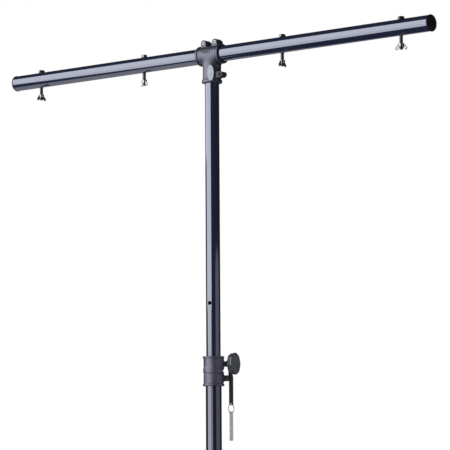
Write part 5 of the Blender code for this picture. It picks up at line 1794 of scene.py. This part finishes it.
def rimmed_sleeve(from_mast, z, low, high):
    body = barrel(from_mast, z, HUB_RADIUS, low, high, 0.0008)
    for bottom, top in ((low, low + HUB_RIM_HEIGHT), (high - HUB_RIM_HEIGHT, high)):
        rim = barrel(from_mast, z, HUB_RIM_RADIUS, bottom, top, 0.0010)
        body = joined(body, rim, 0.0010)
    return body


def turned_to(p, degrees):
    """A point's place in a frame turned about Z."""
    turn = math.radians(degrees)
    x, y, z = p
    return x * math.cos(turn) + y * math.sin(turn), y * math.cos(turn) - x * math.sin(turn), z


def hub_form(p):
    x, y, z = p
    from_mast = np.hypot(x, y)
    body = rimmed_sleeve(from_mast, z, -HUB_DOWN, HUB_UP)
    for angle in LEG_AZIMUTHS:
        out, side, up = turned_to(p, angle)
        lug = tapered(out, up, 0.018, CHEEK_ROOT, HINGE_RADIUS, CHEEK_RADIUS)
        across = np.abs(side) - CHEEK_INNER - CHEEK_THICKNESS / 2
        cheeks = np.maximum(thick(lug, across, CHEEK_THICKNESS / 2, 0.0010), CHEEK_START - out)
        body = joined(body, cheeks, 0.0022)
    out, side, up = turned_to(p, HUB_KNOB_AZIMUTH)
    boss = barrel(np.hypot(side, up), out, HUB_BOSS_RADIUS, 0.020, HUB_BOSS_REACH, 0.0008)
    body = joined(body, boss, 0.0025)
    body = cut_from(body, from_mast - OUTER_RADIUS - HUB_SLIDE_FIT, 0.0006)
    stud_hole = np.maximum(np.hypot(side, up) - BOLT_RADIUS - HOLE_FIT, -out)
    body = cut_from(body, stud_hole, 0.0004)
    for angle in LEG_AZIMUTHS:
        out, side, up = turned_to(p, angle)
        from_pin = np.hypot(out - HINGE_RADIUS, up)
        body = cut_from(body, from_pin - PIVOT_RADIUS - GAP, 0.0003)
    return body


def collar_form(p):
    x, y, z = p
    from_mast = np.hypot(x, y)
    body = rimmed_sleeve(from_mast, z, -COLLAR_HALF, COLLAR_HALF)
    for angle in LEG_AZIMUTHS:
        out, side, up = turned_to(p, angle)
        lug = tapered(out, up, 0.019, TONGUE_ROOT, HINGE_RADIUS, TONGUE_RADIUS)
        tongue = np.maximum(thick(lug, side, LEG_RADIUS, 0.0009), TONGUE_START - out)
        hollow = tapered(out, up, *TONGUE_HOLLOW)
        lightening = thick(hollow, np.abs(side) - LEG_RADIUS, TONGUE_HOLLOW_DEPTH, 0.0004)
        tongue = cut_from(tongue, lightening, 0.0006)
        body = joined(body, tongue, 0.0016)
    body = cut_from(body, from_mast - OUTER_RADIUS - HOLE_FIT, 0.0006)
    for angle in LEG_AZIMUTHS:
        out, side, up = turned_to(p, angle)
        body = cut_from(body, np.hypot(out - HINGE_RADIUS, up) - PIVOT_RADIUS - GAP, 0.0003)
    return body


def rivet(name, low, high):
    """A round-headed rivet along Z, headed at high, and at low too where low is negative."""
    head, shank, tall = PIVOT_HEAD_RADIUS, PIVOT_RADIUS, PIVOT_HEAD_HEIGHT
    angles = np.radians((0, 20, 40, 60, 75, 90))
    dome = [(head * math.sin(a), high + tall * (math.cos(a) * 0.95 + 0.05)) for a in angles]
    dome[0] = (0, high + tall)
    rings = [*dome, (head, high), (shank, high)]
    if low < 0:
        under = [(radius, low + high - height) for radius, height in reversed(dome)]
        rings += [(shank, low), (head, low), *under]
    else:
        rings += [(shank, low), (0, low)]
    return smooth_with_flats(turned(name, rings, sides=40), 50)


def hub_knob_rings():
    reach = lobed(HUB_KNOB_RADIUS)
    stem = HUB_BOSS_REACH + GAP
    back = stem + HUB_KNOB_NECK
    face = back + HUB_KNOB_THICKNESS
    neck = HUB_BOSS_RADIUS - 2 * GAP
    bore = BOLT_RADIUS + GAP
    rings = [
        (0, face - 0.0006),
        (HUB_KNOB_RADIUS * 0.45, face - 0.0005),
        (HUB_KNOB_RADIUS * 0.72, face - 0.0001),
        (reach - 0.0034, face),
        (reach - 0.0020, face - 0.0003),
        (reach - 0.0008, face - 0.0011),
        (reach, face - 0.0028),
        (reach, back + 0.0024),
        (reach - 0.0006, back + 0.0009),
        (reach - 0.0018, back),
        (0.0130, back),
        (0.0112, back - 0.0006),
        (0.0092, back - 0.0020),
        (neck + 0.0003, back - 0.0040),
        (neck, stem + 0.0005),
        (neck - 0.0004, stem),
        (bore, stem),
        (bore, stem + STUD_IN_KNOB),
        (0, stem + STUD_IN_KNOB),
    ]
    return rings, stem


def build_hub():
    hub = casting("cast_leg_hub", hub_form, *HUB_BOX, HUB)
    stand_in(hub, "hub", "grey_casting", HEAD_PAINT, "leg_hub")
    spots, nodes = [], []
    for number, angle in enumerate(LEG_AZIMUTHS, 1):
        for side, tilt in (("left", -90.0), ("right", 90.0)):
            spots.append(HUB @ azimuth(angle) @ place((HINGE_RADIUS, 0, 0), (tilt, 0, 0)))
            nodes.append(f"hub_rivet_{number}_{side}")
    stub = rivet("hub_rivet", CHEEK_INNER, CHEEK_INNER + CHEEK_THICKNESS + GAP)
    rivets = fastener_copies("hub_rivets", stub, spots, ZINC)
    stand_in(rivets, "hub", "bright_zinc", None, *nodes)
    outward = HUB @ azimuth(HUB_KNOB_AZIMUTH) @ Z_TO_X
    rings, stem = hub_knob_rings()
    knob = smooth_with_flats(turned("lobed_hub_knob", rings, outward, KNOB_SIDES), 40)
    stand_in(knob, "hub_knob", "grey_green_plastic", KNOB_PLASTIC, "hub_knob")
    low, high = OUTER_RADIUS + HUB_SLIDE_FIT, stem + STUD_IN_KNOB - 0.0002
    stud = threaded_rod("hub_stud_thread", BOLT_RADIUS, BOLT_PITCH, low, high, outward)
    stand_in(stud, "hub_knob", "bright_zinc", None, "hub_knob_stud")


def strut_mesh(name, matrix):
    """A pressed channel: two sides joined by a web, drilled at both pivots, its edges rolled."""
    inner = LEG_RADIUS + GAP
    outer = inner + STRUT_THICKNESS
    edge = STRUT_WEB_OFFSET + STRUT_THICKNESS
    far = STRUT_LENGTH - STRUT_WEB_END
    half = STRUT_HALF_WIDTH
    ends = []
    for middle, start in ((STRUT_LENGTH, -90), (0.0, 90)):
        for i in range(17):
            angle = math.radians(start + 180 * i / 16)
            ends.append((middle + half * math.cos(angle), half * math.sin(angle)))
    outline = [*ends[:17], (far, edge), (STRUT_WEB_START, edge), *ends[17:]]
    body = plate_mesh(name + "_side", outline, inner, outer)
    other = plate_mesh(name + "_side", outline, -outer, -inner)
    web = [
        (STRUT_WEB_START, STRUT_WEB_OFFSET),
        (far, STRUT_WEB_OFFSET),
        (far, edge),
        (STRUT_WEB_START, edge),
    ]
    boolean(body, plate_mesh(name + "_web", web, -outer, outer), "UNION")
    boolean(body, other, "UNION")
    for along in (0.0, STRUT_LENGTH):
        drilled(body, Matrix.Translation((along, 0, 0)), PIVOT_RADIUS + GAP, 0.02, 32)
    roll = body.modifiers.new("rolled_edges", "BEVEL")
    roll.width = 0.0005
    roll.segments = 2
    roll.limit_method = "ANGLE"
    roll.angle_limit = math.radians(50)
    roll.use_clamp_overlap = True
    plain(body)
    smooth_with_flats(body, 40)
    body.name = name
    body.data.transform(matrix @ place(degrees=(90, -90, 0)))
    return body


def plate_mesh(name, outline, low, high):
    """A flat outline in XY as a plate between two heights."""
    shape = bmesh.new()
    top = [shape.verts.new((x, y, high)) for x, y in outline]
    bottom = [shape.verts.new((x, y, low)) for x, y in outline]
    shape.faces.new(top)
    shape.faces.new(list(reversed(bottom)))
    for i in range(len(outline)):
        j = (i + 1) % len(outline)
        shape.faces.new((top[i], bottom[i], bottom[j], top[j]))
    return closed_object(name, shape)


def rubber_foot(number, axis):
    """A ribbed rubber boot on a leg's end, worn flat where it meets the floor."""
    end = STRUT_LENGTH - LEG_LENGTH
    floor = end + FOOT_END_INSIDE - GAP
    top = floor + FOOT_SLEEVE
    bottom = floor - FOOT_END_WALL
    inner = LEG_RADIUS + HOLE_FIT
    radius = FOOT_RADIUS
    ribs = []
    for i in range(FOOT_RIBS):
        height = top - FOOT_RIB_DROP - FOOT_RIB_PITCH * i
        ribs += [
            (radius, height, 0.0005),
            (radius - 0.0009, height - 0.0008, 0.0004),
            (radius - 0.0009, height - 0.0020, 0.0004),
            (radius, height - 0.0028, 0.0005),
        ]
    profile = [
        (0, floor),
        (inner, floor),
        (inner, top, 0.0004),
        (radius - 0.0012, top, 0.0006),
        (radius, top - 0.0016, 0.0008),
        *ribs,
        (radius, bottom, 0.0022),
        (0, bottom),
    ]
    foot = turned(f"rubber_foot_{number}", eased(profile, 3), axis, 72)
    shape = bmesh.new()
    shape.from_mesh(foot.data)
    cut = bmesh.ops.bisect_plane(
        shape,
        geom=[*shape.verts, *shape.edges, *shape.faces],
        plane_co=(0, 0, 0),
        plane_no=(0, 0, -1),
        clear_outer=True,
    )
    rim = [part for part in cut["geom_cut"] if isinstance(part, bmesh.types.BMEdge)]
    bmesh.ops.edgeloop_fill(shape, edges=rim)
    bmesh.ops.recalc_face_normals(shape, faces=shape.faces)
    shape.to_mesh(foot.data)
    shape.free()
    return smooth_with_flats(foot)


def leg_plug(number, axis, seat):
    """A domed plug in a leg's top, drilled for the hub's rivets."""
    spigot = LEG_RADIUS - TUBE_WALL - HOLE_FIT
    angles = [math.radians(a) for a in (88, 75, 60, 45, 30, 15, 0)]
    dome = [(LEG_RADIUS * math.cos(a), STRUT_LENGTH + LEG_RADIUS * math.sin(a)) for a in angles]
    profile = [
        (0, STRUT_LENGTH + LEG_RADIUS),
        *dome,
        (LEG_RADIUS, seat + 0.0016, 0.0003),
        (LEG_RADIUS - 0.0005, seat + 0.0012, 0.0002),
        (LEG_RADIUS - 0.0005, seat + 0.0007, 0.0002),
        (LEG_RADIUS, seat + 0.0003, 0.0002),
        (LEG_RADIUS, seat),
        (spigot, seat),
        (spigot, seat - LEG_PLUG_SPIGOT),
        (0, seat - LEG_PLUG_SPIGOT),
    ]
    plug = turned(f"leg_top_plug_{number}", eased(profile, 2), axis, 72)
    drilled(plug, axis @ place((0, 0, STRUT_LENGTH), (90, 0, 0)), PIVOT_RADIUS + GAP, 0.02, 32)
    return smooth_with_flats(plug, 40)


def build_tripod():
    collar = casting("cast_foot_collar", collar_form, *COLLAR_BOX, COLLAR)
    stand_in(collar, "base", "grey_casting", HEAD_PAINT, "foot_collar")
    half = LEG_RADIUS + GAP + STRUT_THICKNESS + GAP
    spots = [COLLAR @ azimuth(angle) @ place((HINGE_RADIUS, 0, 0), (90, 0, 0)) for angle in LEG_AZIMUTHS]
    pins = fastener_copies("collar_pins", rivet("collar_pin", -half, half), spots, ZINC)
    stand_in(pins, "base", "bright_zinc", None, "strut_pin_1", "strut_pin_2", "strut_pin_3")

    lean = math.radians(LEG_ANGLE)
    reach = HINGE_RADIUS + STRUT_LENGTH * math.sin(lean)
    height = COLLAR_HEIGHT + STRUT_LENGTH * math.cos(lean)
    low = STRUT_LENGTH - LEG_LENGTH + FOOT_END_INSIDE
    seat = STRUT_LENGTH - LEG_PLUG_LENGTH
    hole = PIVOT_RADIUS + GAP
    for number, angle in enumerate(LEG_AZIMUTHS, 1):
        side = azimuth(angle)
        axis = side @ place((HINGE_RADIUS, 0, COLLAR_HEIGHT), (0, LEG_ANGLE, 0))
        strut = strut_mesh(f"channel_strut_{number}", axis)
        stand_in(strut, f"strut_{number}", "black_gloss_paint", GLOSS_PAINT, f"strut_{number}")
        spot = axis @ place((0, 0, STRUT_LENGTH), (90, 0, 0))
        pin = fastener_copies(f"leg_pin_{number}_rivet", rivet("leg_rivet", -half, half), [spot], ZINC)
        stand_in(pin, f"strut_{number}", "bright_zinc", None, f"leg_pin_{number}")

        axis = side @ place((reach, 0, height), (0, -LEG_ANGLE, 0))
        sizes = (LEG_RADIUS, TUBE_WALL, low, seat - GAP, hole, (0.0,))
        tube = pierced_tube(f"leg_tube_{number}", *sizes, axis, sides=ROUND_SIDES)
        stand_in(tube, f"leg_{number}", "black_gloss_paint", None, f"leg_{number}")
        plug = leg_plug(number, axis, seat)
        stand_in(plug, f"leg_{number}", "black_plastic", CAP_PLASTIC, f"leg_plug_{number}")
        foot = rubber_foot(number, axis)
        stand_in(foot, f"leg_{number}", "black_rubber", RUBBER, f"foot_{number}")


# The room: floor, backdrop and lamps

def set_world():
    world = bpy.data.worlds.new("studio")
    bpy.context.scene.world = world
    world.use_nodes = True
    tree = world.node_tree
    background = tree.nodes["Background"]
    path = add(tree, "ShaderNodeLightPath").outputs
    where = add(tree, "ShaderNodeTexCoord").outputs["Generated"]
    ahead = vector_maths(tree, "DOT_PRODUCT", where, CAMERA_AHEAD, "Value")
    behind = spread(tree, ahead, *BACKDROP_EDGE, interpolation_type="SMOOTHSTEP")
    mirrored = maths(tree, "ADD", path["Is Glossy Ray"], path["Is Transmission Ray"], clamp=True)
    white = maths(tree, "MAXIMUM", path["Is Camera Ray"], maths(tree, "MULTIPLY", mirrored, behind))
    soft = maths(tree, "MULTIPLY", path["Is Diffuse Ray"], ROOM_LIGHT)
    level = maths(tree, "MAXIMUM", white, maths(tree, "MAXIMUM", soft, ROOM_MIRRORED))
    tree.links.new(level, background.inputs["Strength"])
    background.inputs["Color"].default_value = (1, 1, 1, 1)


def panel(name, centre, target, width, height, radiance, colour=(1, 1, 1)):
    """A soft light panel of one brightness, which the camera doesn't see."""
    data = bpy.data.lights.new(name, "AREA")
    data.shape = "RECTANGLE"
    data.size, data.size_y = width, height
    data.energy = radiance * math.pi * (width * height)
    data.color = colour
    lamp = new_object(name, data)
    aim = Vector(target) - Vector(centre)
    lamp.matrix_world = Matrix.Translation(centre) @ aim.to_track_quat("-Z", "Y").to_matrix().to_4x4()
    lamp.visible_camera = False


def set_lamps():
    # One plane of panels: name, left, right, low, high and strength
    front = (
        ("upper softbox", -2.70, 2.60, 1.72, 4.80, SOFTBOX),
        ("middle softbox", -1.90, 2.15, 1.54, 1.72, SOFTBOX * MIDDLE_SHARE),
        ("lower softbox", -1.42, 1.36, -0.10, 1.54, LOW_SOFTBOX),
        ("lower side panel", 1.36, 4.00, 0.00, 1.54, SIDE_PANEL),
    )
    for name, left, right, low, high, radiance in front:
        aside, up = (left + right) / 2, (low + high) / 2
        spot = Vector(PANEL_FOOT) + UP * up + aside * Vector(PANEL_ALONG)
        panel(name, spot, spot + Vector(PANEL_AHEAD), right - left, high - low, radiance, COOL)
    panel("upper left softbox", (-2.92, -0.68, 2.80), (0, 0, 2.80), 1.2, 1.3, SOFTBOX, COOL)
    panel("right fill", (2.85, 0.93, 0.95), (0, 0, 0.95), 3.7, 1.8, FILL, VIOLET)
    panel("left floor bounce", (-3.20, 1.70, 0.02), (-3.20, 1.70, 1.0), 3.2, 5.0, BOUNCE)


def set_floor():
    shape = bmesh.new()
    bmesh.ops.create_grid(shape, x_segments=1, y_segments=1, size=FLOOR_HALF)
    floor = object_of("floor", shape)
    floor.data.transform(Matrix.Translation((0, 0, -FLOOR_DROP)))
    paper = bpy.data.materials.new("pale floor")
    paper.use_nodes = True
    tree = paper.node_tree
    shader = tree.nodes["Principled BSDF"]
    shader.inputs["Roughness"].default_value = FLOOR_ROUGHNESS
    noise = add(tree, "ShaderNodeTexNoise", {"Scale": 3.0, "Detail": 3.0})
    shade = mixed(tree, noise.outputs[0], *FLOOR_PATCHES)
    camera = add(tree, "ShaderNodeLightPath").outputs["Is Camera Ray"]
    tree.links.new(mixed(tree, camera, shade, FLOOR_SEEN), shader.inputs["Base Color"])
    shader.inputs["Emission Color"].default_value = (1, 1, 1, 1)
    glow = maths(tree, "MULTIPLY", camera, FLOOR_GLOW)
    tree.links.new(glow, shader.inputs["Emission Strength"])
    floor.data.materials.append(paper)
    floor.visible_glossy = False


def hidden_pieces():
    """The glide bush works inside the lower tube, and only takes its finish."""
    bush = NODES["glide_bush"]
    bush.data.materials.clear()
    bush.data.materials.append(NYLON)


set_camera()
build_head()
build_bar()
build_lamp_bolts()
build_mast()
build_clamp()
build_strap()
build_ring_and_pin()
build_hub()
build_tripod()
hidden_pieces()
set_world()
set_lamps()
set_floor()
bpy.context.scene.view_settings.view_transform = "Standard"
